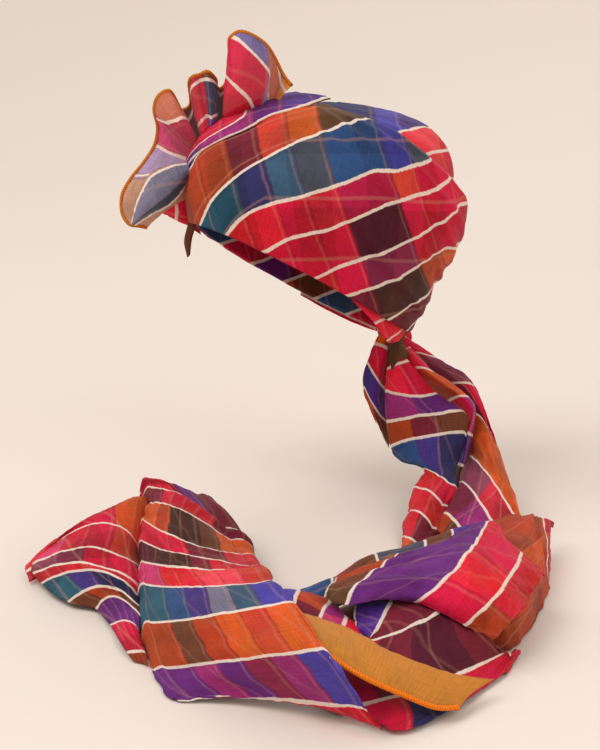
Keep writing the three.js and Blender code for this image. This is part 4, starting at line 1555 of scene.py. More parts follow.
@dataclass
class Crown(Winding):
    """The inner winding: a hollow crown, closed above and open below, with a swollen back lobe."""

    rests_on: tuple[str, ...] = ()
    zones: Pair = (-1.0, 8.0)
    rows_up: int = 84
    top_gap: float = 0.015  # how far the last ring stays from the top's own point
    clear_rings: Pair = (0.05, 0.7)  # rings over which swellings rise
    fade_rings: float = 1.2  # rings below the top over which they fade

    def grid(self) -> Grid:
        """Shape of the crown, whose swellings show only above the outer windings.

        Returns:
            The grid, closed round the head.
        """
        angles = np.arange(0, 360, self.angle_step)
        rings = np.linspace(0, len(RINGS) - 1 - self.top_gap, self.rows_up)
        angle, ring = np.meshgrid(angles, rings)
        front = line_rows(FRONT_WRAP_EDGES, angle.ravel())[1].reshape(angle.shape)
        side = line_rows(SIDE_WRAP_EDGES, angle.ravel() - 360)[1].reshape(angle.shape)
        edge = np.where(angle < SEAM_ANGLE, front, side)
        clear = smooth_step(ring - edge, *self.clear_rings)
        fade = smooth_step(len(RINGS) - 1 - ring, 0, self.fade_rings)
        points = stand_off(angle, ring, self.relief(angle, ring, ring) * clear * fade)
        return Grid(points, winding_zone(points), lobe_band(points), closed=True)


@dataclass
class BrowFold(Winding):
    """The strip folded over the brow, whose edges are given by ring."""

    held: Held = Held.FOLDED
    rests_on: tuple[str, ...] = ("front_wrap_cloth",)
    steps: int = 9
    tuck_from: float = 0.9
    bulge: float = 1.2
    stripe_low: float = 0.8  # place of its white stripe near the brow, from 0 to 1
    stripe_shift: float = 0.55  # how far that stripe moves over as the strip climbs
    shift_rings: Pair = (4.4, 6.0)  # rings over which it does
    under_bands: float = 0.6  # bands from the stripe to the outer edge
    inner_bands: float = 1.03  # bands from the stripe to the inner edge

    def grid(self) -> Grid:
        """Shape of the strip.

        Returns:
            The grid.
        """
        rows = spline_rows(self.edges, self.steps)
        share = np.linspace(0, 1, self.columns + 1)
        ring = np.repeat(rows[:, :1], len(share), axis=1)
        angle = rows[:, 1:2] + (rows[:, 2:3] - rows[:, 1:2]) * share
        edge = smooth_step(np.abs(share - 0.5) * 2, self.tuck_from, 1.0)[None, :] * self.tuck
        rise = self.bulge * np.sin(share * math.pi)[None, :] + self.relief(angle, ring, ring)
        points = stand_off(angle, ring, self.stand + rise - edge)
        stripe = self.stripe_low - self.stripe_shift * smooth_step(ring, *self.shift_rings)
        under = -1 - (stripe - share) * self.under_bands
        over = (share - stripe) / (1 - stripe) * self.inner_bands - 1
        return Grid(points, winding_zone(points), np.where(share > stripe, over, under))


@dataclass
class Knot:
    """The knot at the nape: a squat lump of cloth with slanting grooves."""

    finish: Plaid
    node: str = "nape_knot"
    centre: Triple = (10.0, 116.0, -66.0)
    size: Triple = (17.0, 11.0, 13.0)
    grooves: tuple[int, float, float] = (3, 0.13, 2.0)  # how many, their depth, their twist
    wrinkles: tuple[int, float, float] = (11, 0.018, 7.0)
    zones: Pair = (0.0, 3.0)
    zone_turn: float = 2.1  # radians round it for one zone
    bands: Pair = (0.9, 0.25)  # for each radian down, and how far they sway
    rows: int = 48
    columns: int = 96
    pole: float = 0.02  # radians that its two ends leave open
    fill: float = 0.8

    def build(self) -> Piece:
        """Makes the knot and dresses it.

        Returns:
            The piece.
        """
        polar = np.linspace(self.pole, math.pi - self.pole, self.rows)[:, None]
        turn = np.linspace(0, 2 * math.pi, self.columns, endpoint=False)[None, :]
        carved = sum(
            depth * np.cos(count * turn + twist * polar)
            for count, depth, twist in (self.grooves, self.wrinkles)
        )
        radial = (1 + carved * np.sin(polar)) * np.sin(polar)
        offset = np.stack(
            [radial * np.cos(turn), radial * np.sin(turn), np.cos(polar) + 0 * turn], axis=-1
        )
        points = np.array(self.centre) + offset * np.array(self.size)
        band = (polar + self.bands[1] * np.sin(turn * 2)) * self.bands[0]
        grid = Grid(points, 0 * polar + turn / self.zone_turn, band, closed=True)
        piece = cloth_object(self.node + "_cloth", grid, np.array(self.centre), 0.0)
        self.dress(piece)
        return piece

    def dress(self, piece: Piece) -> None:
        """Args:
            piece: The knot.
        """
        piece.data.materials.append(self.finish.dress(self.zones))
        tied(piece, self.node)
        log.info("%s: %.0f mm wide", piece.name, self.size[0] * 2)


@dataclass
class Hem:
    """Overlocked edge of a sheet, a thin tube along one end of the rows of a table."""

    node: str
    table: Table
    finish: Overlock
    radius: float
    at_end: bool = True
    gap: float = 0.0  # how far it stands off the edge
    first_row: int = 0
    steps: int = 14  # from one row of the table to the next
    sides: int = 12
    swell: float = 0.07  # how much thicker it is at each stitch
    swell_pitch: float = 3.1
    zone_length: float = 50.0
    upright: Triple = (0.3, 0.2, 1.0)  # never along the edge

    def path(self) -> np.ndarray:
        """Line of the hem.

        Returns:
            Points in millimetres on the wrap's axes.
        """
        rows = spline_rows(self.table, self.steps)[self.first_row * self.steps :]
        edge = rows[:, 6:9] if self.at_end else rows[:, 0:3]
        out = edge - rows[:, 3:6]
        out = out / np.linalg.norm(out, axis=1, keepdims=True)
        return drape_to_wrap(edge + out * self.gap)

    def build(self) -> Piece:
        """Makes the hem and dresses it.

        Returns:
            The piece.
        """
        path = self.path()
        ahead = np.gradient(path, axis=0)
        ahead = ahead / np.linalg.norm(ahead, axis=1, keepdims=True)
        side = np.cross(ahead, np.array(self.upright))
        side = side / np.maximum(np.linalg.norm(side, axis=1, keepdims=True), TINY)
        up = np.cross(side, ahead)
        turn = np.linspace(0, 2 * math.pi, self.sides, endpoint=False)[None, :, None]
        ring = side[:, None] * np.cos(turn) + up[:, None] * np.sin(turn)
        length = np.concatenate([[0], np.cumsum(np.linalg.norm(np.diff(path, axis=0), axis=1))])
        thick = self.radius * (1 + self.swell * np.sin(length * 2 * math.pi / self.swell_pitch))
        points = path[:, None] + ring * thick[:, None, None]
        place = np.repeat(length[:, None] / self.zone_length, self.sides, axis=1)
        grid = Grid(points, place, place, closed=True)
        piece = cloth_object(self.node + "_stitching", grid, path.mean(axis=0), 0.0)
        self._close_ends(piece, len(path))
        self.dress(piece)
        log.info("%s: %.0f mm of stitching", piece.name, length[-1])
        return piece

    def dress(self, piece: Piece) -> None:
        """Gives the hem its finish and ties it."""
        piece.data.materials.append(self.finish.dress((0.0, 1.0)))
        tied(piece, self.node)

    def _close_ends(self, piece: Piece, rings: int) -> None:
        """Fills the tube's two ends.

        Args:
            piece: The tube.
            rings: How many rings of points it has.
        """
        mesh = bmesh.new()
        mesh.from_mesh(piece.data)
        mesh.verts.ensure_lookup_table()
        for ring in (0, rings - 1):
            mesh.faces.new([mesh.verts[ring * self.sides + k] for k in range(self.sides)])
        bmesh.ops.recalc_face_normals(mesh, faces=mesh.faces)
        mesh.to_mesh(piece.data)
        mesh.free()


@dataclass
class Studio:
    """Pale round studio, its soft lights and the camera. Lengths are in metres."""

    floor_z: float = -HEAD_RISE * MM
    profile: Table = (  # radius and height of the floor as it curves up into a wall
        (0.0, 0.0), (0.9, 0.0), (1.5, 0.02), (2.1, 0.12), (2.6, 0.32), (3.0, 0.62),
        (3.3, 1.05), (3.5, 1.6), (3.6, 2.3), (3.62, 3.4),
    )
    profile_steps: int = 8
    sides: int = 128
    paper: tuple[float, float, float, float] = (0.815, 0.748, 0.687, 1.0)
    paper_roughness: float = 0.85
    paper_specular: float = 0.15
    light_colour: Triple = (1.0, 0.97, 0.94)
    sky_strength: float = 0.56
    lights: tuple[tuple[str, Triple, float, float], ...] = (
        # name, place, size, watts
        ("key_light", (-0.5, -1.7, 2.4), 2.0, 47.0),
        ("fill_light", (2.2, -0.3, 1.3), 1.8, 15.0),
        ("back_light", (-0.8, 1.9, 1.9), 1.6, 16.0),
    )
    lights_aim: Triple = (0.05, 0.0, -0.02)
    camera_at: Triple = (1.0508, -1.0458, 0.2874)
    pitch: float = 14.1
    azimuth: float = 45.0
    lens: float = 84.67  # millimetres, as the sensor
    sensor: float = 36.0
    clips: Pair = (0.05, 30.0)  # nearest and farthest that the camera sees

    def build(self) -> None:
        """Makes the studio."""
        self._room()
        self._lights()
        self._camera()

    def _room(self) -> None:
        """Floor that curves up into a wall all the way round."""
        rows = spline_rows(self.profile, self.profile_steps)
        turn = np.linspace(0, 2 * math.pi, self.sides, endpoint=False)
        radius, height = rows[:, :1], rows[:, 1:]
        points = np.stack(
            [radius * np.cos(turn), radius * np.sin(turn), height + self.floor_z + 0 * turn], -1
        )
        corners = quads(len(rows), self.sides, closed=True)
        room = smooth_object("studio_room", points, corners[::-1])
        shader = Shader("studio_paper")
        shader.settle({
            "Base Color": self.paper, "Roughness": self.paper_roughness,
            "Specular IOR Level": self.paper_specular,
        })
        room.data.materials.append(shader.material)

    def _lights(self) -> None:
        """Soft boxes above and beside the wrap, and a pale sky."""
        world = bpy.data.worlds.new("studio_sky")
        bpy.context.scene.world = world
        world.use_nodes = True
        sky = world.node_tree.nodes["Background"]
        sky.inputs["Color"].default_value = (*self.light_colour, 1.0)
        sky.inputs["Strength"].default_value = self.sky_strength
        for name, at, size, watts in self.lights:
            light = bpy.data.lights.new(name, "AREA")
            light.shape = "SQUARE"
            light.size = size
            light.energy = watts
            light.color = self.light_colour
            lamp = bpy.data.objects.new(name, light)
            lamp.location = at
            aim = Vector(self.lights_aim) - Vector(at)
            lamp.rotation_euler = aim.to_track_quat("-Z", "Y").to_euler()
            bpy.context.scene.collection.objects.link(lamp)

    def _camera(self) -> None:
        """Camera before the wrap and to its left, looking a little down."""
        camera = bpy.data.cameras.new("camera")
        camera.lens = self.lens
        camera.sensor_width = self.sensor
        camera.clip_start, camera.clip_end = self.clips
        holder = bpy.data.objects.new("camera", camera)
        holder.location = self.camera_at
        holder.rotation_euler = (
            math.radians(90 - self.pitch), 0.0, math.radians(self.azimuth)
        )
        bpy.context.scene.collection.objects.link(holder)
        bpy.context.scene.camera = holder
        bpy.context.scene.view_settings.view_transform = "Standard"


CROWN_CHART: Chart = {
    -2: (Dye.CRIMSON, Dye.CRIMSON, Dye.CRIMSON, Dye.MAGENTA, Dye.VIOLET, Dye.VIOLET, Dye.ROYAL,
         Dye.ROSE),
    -1: (Dye.VIOLET, Dye.MAGENTA, Dye.MAGENTA, Dye.PURPLE, Dye.VIOLET, Dye.VIOLET, Dye.ROYAL,
         Dye.ROSE),
    0: (Dye.RUST, Dye.RUST, Dye.MAROON, Dye.ORANGE_RED, Dye.ORANGE, Dye.OLIVE, Dye.OLIVE,
        Dye.BROWN),
    1: (Dye.DARK_TEAL, Dye.DARK_TEAL, Dye.NAVY, Dye.STEEL, Dye.SLATE, Dye.BLUE, Dye.ROYAL,
        Dye.SLATE),
    2: (Dye.BRIGHT_RED, Dye.BRIGHT_RED, Dye.BRIGHT_RED, Dye.CRIMSON, Dye.SCARLET,
        Dye.DEEP_CRIMSON, Dye.ORANGE_RED, Dye.CRIMSON),
    3: (Dye.CRIMSON, Dye.CRIMSON, Dye.CRIMSON, Dye.CRIMSON, Dye.CRIMSON, Dye.DARK_MAROON,
        Dye.CRIMSON, Dye.CRIMSON),
    4: (Dye.RED, Dye.RED, Dye.RED, Dye.RED, Dye.CRIMSON, Dye.PLUM, Dye.CRIMSON, Dye.CRIMSON),
    5: (Dye.ORANGE, Dye.ORANGE, Dye.BROWN, Dye.RUST, Dye.MAROON, Dye.DARK_BROWN, Dye.RUST,
        Dye.ORANGE),
    6: (Dye.CRIMSON, Dye.CRIMSON, Dye.CRIMSON, Dye.CRIMSON, Dye.CRIMSON, Dye.MAROON, Dye.CRIMSON,
        Dye.CRIMSON),
}
LOBE_CHART: Chart = {
    -1: (Dye.SLATE, Dye.SLATE, Dye.NAVY, Dye.STEEL, Dye.SLATE, Dye.NAVY, Dye.BLUE_VIOLET,
         Dye.INDIGO, Dye.ROYAL),
    0: (Dye.BLUE, Dye.BLUE, Dye.BLUE, Dye.BLUE, Dye.SLATE, Dye.BLUE_VIOLET, Dye.CORAL, Dye.CORAL,
        Dye.RED),
    1: (Dye.CRIMSON, Dye.CRIMSON, Dye.CRIMSON, Dye.CRIMSON, Dye.CRIMSON, Dye.CRIMSON, Dye.CRIMSON,
        Dye.CORAL, Dye.CRIMSON),
    2: (Dye.PURPLE, Dye.PURPLE, Dye.MAROON, Dye.PURPLE, Dye.VIOLET, Dye.MAGENTA, Dye.CRIMSON,
        Dye.SCARLET, Dye.MAGENTA),
    3: (Dye.ORANGE, Dye.RUST, Dye.BROWN, Dye.RUST, Dye.ORANGE, Dye.ORANGE_RED, Dye.BROWN,
        Dye.RUST, Dye.ORANGE),
    4: (Dye.TEAL, Dye.NAVY, Dye.BLUE, Dye.STEEL, Dye.SLATE, Dye.DEEP_BLUE, Dye.ROYAL, Dye.NAVY,
        Dye.TEAL),
    5: (Dye.CRIMSON,) * 9,
    6: (Dye.MAROON,) * 9,
}


@dataclass
class Windings:
    """The crown: an inner winding, two outer ones, the folds at nape and brow, and the knot."""

    front_stand: float = 5.9
    side_stand: float = 3.2
    nape_stand: float = 2.3
    brow_stand: float = 8.9
    brow_tuck: float = 1.6
    front_swells: Table = (  # angle, its reach, ring, its reach, height
        (128, 30, 2.85, 1.0, 8.5), (124, 22, 1.5, 0.3, -2.2), (60, 45, 3.0, 1.6, 2.0),
    )
    side_swells: Table = ((-120, 34, 2.3, 1.1, 5.0),)
    lobe_swells: Table = ((150, 42, 5.0, 1.4, 5.5), (205, 40, 4.2, 1.6, 5.0))

    def build(self) -> list[Piece]:
        """Makes the crown's pieces.

        Returns:
            The pieces.
        """
        plaid = Plaid("crown_plaid", CROWN_CHART, ghost=0.2)
        crown = Crown(
            node="crown_wrap", finish=Plaid("lobe_plaid", LOBE_CHART), swells=self.lobe_swells,
            ripples=(Ripple(0.5, 46, 25, 3),),
        )
        front = GatheredWinding(
            node="front_wrap", finish=plaid, edges=FRONT_WRAP_EDGES, stand=self.front_stand,
            swells=self.front_swells, columns=80,
            ripples=(Ripple(0.85, 52, 12, 5), Ripple(0.3, 19, -20, 8)),
            creases=(
                Crease(2.8, 0.98, 6.2, 0.62, 3.6, 2.3),
                Crease(2.9, 0.8, 7.6, 0.42, 3.6, 2.6),
                Crease(2.6, 0.6, 6.4, 0.18, 3.6, -2.1),
                Crease(4.2, 0.9, 8.2, 0.72, 3.6, 2.3),
                Crease(5.6, 0.3, 8.6, 0.12, 3.2, 2.3),
                Crease(6.0, 0.55, 8.8, 0.36, 3.2, -2.2),
                Crease(6.4, 0.7, 9.0, 0.5, 3.2, 2.4),
                Crease(7.0, 0.16, 9.6, 0.28, 2.8, -1.9),
                Crease(7.4, 0.46, 9.6, 0.42, 2.8, 2.2),
                Crease(7.8, 0.66, 9.6, 0.54, 2.8, -2.0),
            ),
        )
        side = GatheredWinding(
            node="side_wrap", finish=plaid, edges=SIDE_WRAP_EDGES, stand=self.side_stand,
            swells=self.side_swells, columns=64, on_right=True,
            ripples=(Ripple(0.8, 48, 15, 11), Ripple(0.3, 18, -25, 12)),
        )
        nape = Winding(
            node="nape_fold",
            finish=Plaid("nape_plaid", {0: (Dye.CRIMSON, Dye.BRIGHT_RED, Dye.CRIMSON)}),
            edges=NAPE_FOLD_EDGES, stand=self.nape_stand, columns=24, tuck=0.0,
            ripples=(Ripple(0.3, 16, 70, 21),),
        )
        brow = BrowFold(
            node="brow_fold", finish=plaid, edges=BROW_FOLD_EDGES, stand=self.brow_stand,
            swells=self.front_swells, columns=40, tuck=self.brow_tuck,
            ripples=(Ripple(0.35, 26, 40, 31),),
        )
        knot = Knot(Plaid("knot_plaid", {
            0: (Dye.CRIMSON, Dye.MAROON, Dye.RED), 2: (Dye.RUST, Dye.CRIMSON, Dye.BROWN),
        }))
        return [piece.build() for piece in (crown, front, side, nape, brow, knot)]


@dataclass
class Crest:
    """The bordered corner that fans out over the brow, with its roll, tip and hem."""

    fan_alpha: float = 0.97
    roll_alpha: float = 0.94
    lower_reach: Pair = (-0.1, 1.1)
    hem_radius: float = 1.5

    def build(self) -> list[Piece]:
        """Makes the crest's pieces.

        Returns:
            The pieces.
        """
        fan = Sheet(
            node="crest_fan", held=Held.GATHERED, rests_on=("front_wrap_cloth",),
            finish=Plaid("crest_plaid", {
                -3: (Dye.AMBER, Dye.PEACH, Dye.CRIMSON, Dye.MAROON, Dye.BROWN, Dye.CRIMSON,
                     Dye.MAROON, Dye.CRIMSON, Dye.PINK, Dye.LILAC, Dye.PEACH),
                -1: (Dye.AMBER, Dye.PEACH, Dye.CRIMSON, Dye.MAROON, Dye.VIOLET, Dye.CRIMSON,
                     Dye.MAROON, Dye.DEEP_CRIMSON, Dye.PINK, Dye.LILAC, Dye.PEACH),
                0: (Dye.AMBER, Dye.PEACH, Dye.CRIMSON, Dye.MAROON, Dye.NAVY, Dye.CRIMSON,
                    Dye.MAROON, Dye.DEEP_CRIMSON, Dye.ROSE, Dye.LILAC, Dye.PEACH),
                1: (Dye.AMBER, Dye.LILAC, Dye.CRIMSON, Dye.MAROON, Dye.BROWN, Dye.CRIMSON,
                    Dye.MAROON, Dye.SALMON, Dye.PINK, Dye.PINK, Dye.PEACH),
                2: (Dye.AMBER, Dye.SALMON, Dye.LAVENDER, Dye.PURPLE, Dye.PEACH, Dye.PEACH,
                    Dye.PEACH, Dye.SALMON, Dye.PEACH, Dye.PEACH, Dye.PEACH),
                3: (Dye.AMBER, Dye.PEACH, Dye.LILAC, Dye.LILAC, Dye.LILAC, Dye.LILAC,
                    Dye.LILAC, Dye.LILAC, Dye.LILAC, Dye.LILAC, Dye.LILAC),
            }, alpha=self.fan_alpha, ghost=0.12),
            zones=(0.0, 11.0),
            zone_rows=((0, 0), (0.8, 1), (3, 2), (8, 3), (10, 4), (12.7, 5), (15.5, 6), (17.5, 7),
                       (21.3, 8), (23, 9), (25, 10), (30, 11)),
            table=CREST_FAN,
            bands=(
                (2.2, 3.3), (1.9, 3.2), (1.5, 2.9), (1.1, 2.6), (0.7, 2.4), (0.3, 2.2), (0, 2),
                (-0.2, 1.8), (-0.3, 1.5), (-0.45, 1.3), (-0.55, 1.12), (-0.6, 1.18), (-0.5, 1.22),
                (-0.6, 1.15), (-0.6, 1.2), (-0.45, 1.22), (-0.2, 1.3), (0, 1.5), (0.15, 1.7),
                (0.2, 1.7), (0.2, 1.6), (0.2, 1.3), (0.15, 0.7), (0, 0), (-0.6, -0.6),
                (-1.1, -1.1), (-1.35, -1.35), (-1.5, -1.5), (-1.6, -1.6), (-1.7, -1.7),
                (-1.8, -1.8),
            ),
            steps=8, columns=36, thickness=0.0, ripples=(Ripple(0.35, 14, 80, 41),),
        )
        roll = Sheet(
            node="crest_roll", held=Held.FOLDED, rests_on=("crest_fan_cloth",),
            finish=Plaid("roll_plaid", {
                -1: (Dye.PEACH,),
                0: (Dye.GREY_VIOLET, Dye.GREY_VIOLET, Dye.SLATE),
                1: (Dye.PINK,),
            }, alpha=self.roll_alpha, ghost=0.18),
            table=CREST_ROLL, bands=((-0.07, 1.06),) * 6, steps=14, columns=30,
            ripples=(Ripple(0.4, 12, 30, 43),),
        )
        lower = Sheet(
            node="crest_lower", held=Held.FOLDED, rests_on=("brow_fold_cloth",),
            finish=Plaid("lower_plaid", {0: (Dye.RED, Dye.BRIGHT_RED)}),
            table=CREST_LOWER, bands=(0.2, 0.6, 1.2, 1.8), steps=12, columns=24,
            reach=self.lower_reach, ripples=(Ripple(0.3, 12, 20, 45),),
        )
        tip = Sheet(
            node="brow_tip", held=Held.HUNG, rests_on=("brow_fold_cloth",),
            finish=PlainCloth("tip_cloth", Dye.BROWN, Dye.DARK_BROWN),
            table=BROW_TIP, bands=(0, 0.5, 0.8, 1), steps=12, columns=16,
        )
        hem = Hem("crest_hem", CREST_FAN, Overlock("crest_overlock"), radius=self.hem_radius)
        return [piece.build() for piece in (fan, roll, lower, tip, hem)]


@dataclass
class HangingTail:
    """The part of the free end that falls from the knot and reaches the pile."""

    left_reach: Pair = (0.0, 1.45)  # where rows start and end, past their own ends
    tuck_reach: Pair = (-0.25, 1.3)
    roll_reach: Pair = (-0.4, 1.0)
    outer_reach: Pair = (-0.24, 1.0)
    inner_falls: Pair = (2.0, 0.0)  # how far two edges turn down
    tuck_falls: Pair = (1.5, 1.5)
    roll_falls: Pair = (0.0, 1.5)
    outer_falls: Pair = (0.0, 2.0)

    def build(self) -> list[Piece]:
        """Makes the tail's pieces.

        Returns:
            The pieces.
        """
        sheets = (
            Sheet(
                node="tail_left", held=Held.HUNG, rests_on=("nape_knot_cloth",),
                finish=Plaid("tail_left_plaid", {
                    0: (Dye.ORANGE, Dye.RUST), 1: (Dye.CRIMSON, Dye.CRIMSON),
                    2: (Dye.INDIGO, Dye.VIOLET), 3: (Dye.RUST, Dye.BROWN),
                }),
                table=TAIL_LEFT, bands=(-0.5, 0.3, 1, 2, 3, 4), reach=self.left_reach,
                falls=self.inner_falls, ripples=(Ripple(0.8, 30, 55, 51),),
            ),
            Sheet(
                node="tail_tuck", held=Held.GATHERED, rests_on=("nape_knot_cloth",),
                finish=PlainCloth("tuck_cloth", Dye.OLIVE, Dye.DARK_BROWN),
                table=TAIL_TUCK, bands=(-0.3, 0, 0.6, 1, 1.3), reach=self.tuck_reach,
                falls=self.tuck_falls, columns=20,
            ),
            Sheet(
                node="tail_center", held=Held.HUNG, rests_on=("nape_knot_cloth",),
                finish=Plaid("tail_center_plaid", {
                    0: (Dye.BRIGHT_RED, Dye.CRIMSON), 1: (Dye.MAGENTA, Dye.PURPLE),
                    2: (Dye.RUST, Dye.MAROON, Dye.BROWN), 3: (Dye.BLUE, Dye.INDIGO, Dye.NAVY),
                    4: (Dye.RED, Dye.CRIMSON), 5: (Dye.RED, Dye.RED),
                    6: (Dye.RED, Dye.MAROON), 7: (Dye.ORANGE, Dye.RUST),
                }),
                table=TAIL_CENTER, bands=(-0.1, 1, 2, 3, 3.5, 4, 5, 6, 7, 7.5), zones=(0.0, 1.4),
                falls=self.inner_falls,
                ripples=(Ripple(1.0, 34, 50, 52), Ripple(0.35, 13, 30, 53)),
            ),
            Sheet(
                node="tail_roll", held=Held.HUNG, rests_on=("nape_knot_cloth",),
                finish=Plaid("tail_roll_plaid", {
                    0: (Dye.RED, Dye.CRIMSON), 1: (Dye.RUST, Dye.ORANGE),
                    2: (Dye.CRIMSON, Dye.MAGENTA), 3: (Dye.VIOLET, Dye.PURPLE),
                    4: (Dye.DARK_BROWN, Dye.DARK_BROWN),
                }),
                table=TAIL_ROLL, bands=(0, 1, 1.6, 2, 2.6, 3, 4, 4.4, 4.6),
                reach=self.roll_reach, falls=self.roll_falls, columns=30,
                ripples=(Ripple(0.5, 22, 60, 54),),
            ),
            Sheet(
                node="tail_outer", held=Held.HUNG, rests_on=("nape_knot_cloth",),
                finish=Plaid("tail_outer_plaid", {
                    0: (Dye.CRIMSON, Dye.CRIMSON), 1: (Dye.MAUVE, Dye.MAUVE),
                    2: (Dye.MAROON, Dye.CRIMSON), 3: (Dye.ORANGE, Dye.ORANGE),
                    4: (Dye.MAUVE, Dye.SCARLET), 5: (Dye.PLUM, Dye.MAGENTA),
                    6: (Dye.RUST, Dye.BROWN),
                }, ghost=0.22),
                table=TAIL_OUTER, bands=(0, 1, 2, 3, 3.8, 4, 5, 6, 6.5), zones=(0.0, 1.6),
                reach=self.outer_reach, falls=self.outer_falls, columns=52,
                ripples=(Ripple(1.0, 40, 40, 55), Ripple(0.35, 14, 20, 56)),
            ),
            Sheet(
                node="tail_rest", held=Held.LAID, rests_on=("studio_room",),
                finish=Plaid("tail_rest_plaid", {
                    6: (Dye.RUST, Dye.CRIMSON), 7: (Dye.CRIMSON, Dye.RED),
                }),
                table=TAIL_REST, bands=(6.5, 7.2, 7.9, 8.5, 9.1), ripples=(Ripple(0.4, 20, 30, 57),),
            ),
        )
        return [sheet.build() for sheet in sheets]


@dataclass
class Pile:
    """The loose pile in which the free end lies."""

    columns: int = 56
    fold_reach: Pair = (-0.12, 1.0)
    left_reach: Pair = (-0.2, 1.35)
    front_reach: Pair = (-0.08, 1.0)
    swirl_falls: Pair = (1.5, 6.0)
    fold_falls: Pair = (0.0, 10.0)
    front_falls: Pair = (6.0, 4.0)

    def build(self) -> list[Piece]:
        """Makes the pile's pieces.

        Returns:
            The pieces.
        """
        sheets = (
            Sheet(
                node="pile_back", held=Held.LAID, rests_on=("studio_room",),
                finish=Plaid("pile_back_plaid", {
                    -1: (Dye.BLUE_VIOLET, Dye.BLUE_VIOLET), 0: (Dye.BLUE, Dye.STEEL),
                    1: (Dye.BROWN, Dye.CRIMSON), 2: (Dye.SLATE, Dye.NAVY),
                    3: (Dye.BROWN, Dye.RUST), 4: (Dye.VIOLET, Dye.INDIGO),
                    5: (Dye.CRIMSON, Dye.RUST),
                }),
                table=PILE_BACK, bands=(-0.8, 0, 1, 2, 3, 4, 5), zones=(0.0, 3.0),
                columns=self.columns, ripples=(Ripple(1.0, 36, 60, 61), Ripple(0.35, 14, 30, 62)),
            ),
            Sheet(
                node="pile_swirl", held=Held.FOLDED, rests_on=("pile_back_cloth",),
                finish=Plaid("pile_swirl_plaid", {
                    0: (Dye.OLIVE, Dye.BROWN, Dye.RUST), 1: (Dye.PURPLE, Dye.PURPLE, Dye.PURPLE),
                    2: (Dye.CRIMSON, Dye.BRIGHT_RED, Dye.CRIMSON), 3: (Dye.RUST, Dye.RED, Dye.RED),
                }),
                table=PILE_SWIRL, bands=(0, 1, 1.5, 2, 2.5, 3, 3.3, 3.7), zones=(0.0, 3.0),
                falls=self.swirl_falls, columns=self.columns,
                ripples=(Ripple(1.2, 40, 20, 63), Ripple(0.4, 15, 40, 64)),
            ),
            Sheet(
                node="pile_fold", held=Held.FOLDED, rests_on=("studio_room",),
                finish=Plaid("pile_fold_plaid", {
                    3: (Dye.RUST, Dye.ORANGE_RED, Dye.ORANGE, Dye.RUST),
                    4: (Dye.CRIMSON, Dye.RED, Dye.CRIMSON, Dye.CRIMSON),
                }, ghost=0.18),
                table=PILE_FOLD, bands=(3.05, 3.4, 3.7, 3.85, 4, 4.3), zones=(0.0, 4.0),
                reach=self.fold_reach, falls=self.fold_falls, columns=60,
                ripples=(Ripple(1.2, 44, 70, 65), Ripple(0.4, 16, 30, 66)),
            ),
            Sheet(
                node="pile_left", held=Held.FOLDED, rests_on=("pile_back_cloth",),
                finish=Plaid("pile_left_plaid", {
                    -1: (Dye.BLUE_VIOLET,), 0: (Dye.RUST, Dye.MAROON), 1: (Dye.MAGENTA, Dye.ROSE),
                    2: (Dye.CRIMSON, Dye.BRIGHT_RED),
                }),
                table=PILE_LEFT, bands=(-0.8, 0, 1, 2, 3), columns=28, reach=self.left_reach,
                ripples=(Ripple(0.6, 24, 30, 67),),
            ),
            Sheet(
                node="pile_front", held=Held.LAID, rests_on=("studio_room",),
                finish=Plaid("pile_front_plaid", {
                    -1: (Dye.VIOLET, Dye.INDIGO), 0: (Dye.MAROON, Dye.MAROON),
                    1: (Dye.DEEP_CRIMSON, Dye.MAROON, Dye.MAROON, Dye.DARK_MAROON,
                        Dye.DARK_MAROON, Dye.MAROON),
                    2: (Dye.CRIMSON, Dye.NAVY, Dye.CRIMSON), 3: (Dye.CRIMSON,),
                }),
                table=PILE_FRONT, bands=(-1, 0, 1, 1.5, 2, 2.4, 2.8), zones=(0.0, 3.0),
                columns=self.columns, reach=self.front_reach, falls=self.front_falls,
                ripples=(Ripple(0.9, 36, 30, 68), Ripple(0.35, 14, 60, 69)),
            ),
        )
        return [sheet.build() for sheet in sheets]


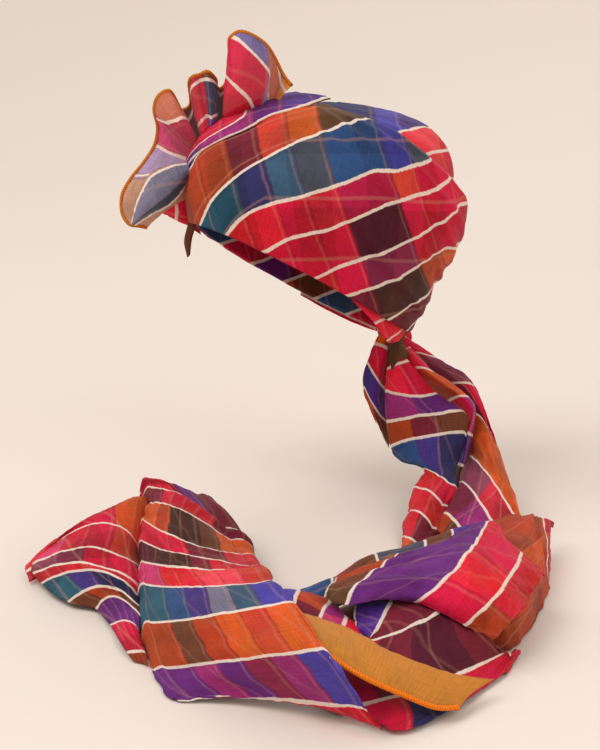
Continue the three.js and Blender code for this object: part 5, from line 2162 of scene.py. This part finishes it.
@dataclass
class FrontFold:
    """The end of the scarf that crosses in front: a broad band, its leaf and its orange border."""

    band_falls: Pair = (16.0, 0.0)
    leaf_reach: Pair = (0.0, 1.16)
    hem_radius: float = 1.7
    hem_gap: float = 0.9

    def build(self) -> list[Piece]:
        """Makes the fold's pieces.

        Returns:
            The pieces.
        """
        sheets = (
            Sheet(
                node="tail_border", held=Held.DRAPED, rests_on=("pile_front_cloth",),
                finish=PlainCloth("border_cloth", Dye.HONEY, Dye.DULL_HONEY),
                table=BORDER, bands=(0, 1, 2, 3, 4, 5, 6, 7), columns=24, steps=12,
                ripples=(Ripple(0.5, 30, 60, 71),),
            ),
            Sheet(
                node="tail_band", held=Held.FOLDED, rests_on=("pile_back_cloth", "studio_room"),
                finish=Plaid("band_plaid", {
                    -3: (Dye.CRIMSON, Dye.CRIMSON, Dye.MAROON, Dye.PURPLE, Dye.PURPLE, Dye.MAROON),
                    0: (Dye.MAROON, Dye.CRIMSON, Dye.CRIMSON, Dye.RED, Dye.RED, Dye.MAROON),
                    1: (Dye.ORANGE, Dye.RUST, Dye.DARK_BROWN, Dye.DARK_BROWN, Dye.BROWN,
                        Dye.ORANGE),
                    2: (Dye.CRIMSON, Dye.CRIMSON, Dye.CRIMSON, Dye.MAROON, Dye.MAROON, Dye.RED),
                    3: (Dye.DARK_MAROON, Dye.DARK_BROWN, Dye.DARK_BROWN, Dye.MAROON, Dye.RED,
                        Dye.CRIMSON),
                    4: (Dye.ROSE, Dye.BRIGHT_RED, Dye.BRIGHT_RED, Dye.CORAL, Dye.CORAL,
                        Dye.ORANGE_RED),
                    5: (Dye.TEAL, Dye.BLUE, Dye.INDIGO, Dye.GREY_VIOLET, Dye.STEEL,
                        Dye.BLUE_VIOLET),
                    6: (Dye.RUST, Dye.BROWN, Dye.RUST, Dye.ORANGE, Dye.ORANGE_RED, Dye.ORANGE),
                    7: (Dye.PURPLE, Dye.MAGENTA, Dye.PURPLE, Dye.PLUM, Dye.MAGENTA,
                        Dye.BLUE_VIOLET),
                    8: (Dye.CRIMSON,),
                }),
                table=TAIL_BAND,
                bands=(-2.2, -0.9, 0, 1, 2, 3, 4, 5, 6, 7, (7.85, 8.05), (8.0, 8.45)),
                zones=(0.0, 6.0), falls=self.band_falls, columns=64,
                ripples=(Ripple(1.1, 44, 75, 72), Ripple(0.4, 16, 40, 73)),
            ),
            Sheet(
                node="tail_leaf", held=Held.LAID, rests_on=("studio_room",),
                finish=Plaid("leaf_plaid", {
                    -2: (Dye.CORAL, Dye.LILAC),
                    -1: (Dye.CORAL, Dye.CRIMSON, Dye.CRIMSON, Dye.ORANGE),
                    0: (Dye.PINK, Dye.CRIMSON, Dye.CRIMSON, Dye.ORANGE_RED),
                    1: (Dye.MAUVE, Dye.PLUM, Dye.CRIMSON, Dye.CRIMSON),
                    2: (Dye.RED, Dye.RED, Dye.BRIGHT_RED, Dye.RED),
                    3: (Dye.TEAL, Dye.INDIGO, Dye.NAVY, Dye.NAVY),
                    4: (Dye.BROWN, Dye.RUST, Dye.RUST, Dye.BROWN), 5: (Dye.PURPLE,),
                    6: (Dye.CRIMSON,), 7: (Dye.RUST,),
                }, ghost=0.22),
                table=TAIL_LEAF, bands=(-1.6, -0.6, 0, 1, 2, 3, 4, 5, 6, 7, 7.5),
                zones=(0.0, 4.0), columns=60, reach=self.leaf_reach,
                ripples=(Ripple(1.0, 40, 20, 74), Ripple(0.35, 15, 60, 75)),
            ),
        )
        hem = Hem(
            "border_hem", BORDER,
            Overlock("border_overlock", Dye.BRIGHT_HEM, Dye.RUST, 0.35),
            radius=self.hem_radius, at_end=False, gap=self.hem_gap, first_row=1,
        )
        return [sheet.build() for sheet in sheets] + [hem.build()]


def main() -> None:
    """Builds the studio and every piece of the wrap, in order."""
    logging.basicConfig(level=logging.INFO, format="%(name)s: %(message)s")
    Studio().build()
    for assembly in (Windings(), Crest(), HangingTail(), Pile(), FrontFold()):
        pieces = assembly.build()
        log.info("%s: %d pieces", type(assembly).__name__, len(pieces))


if __name__ == "__main__":
    main()
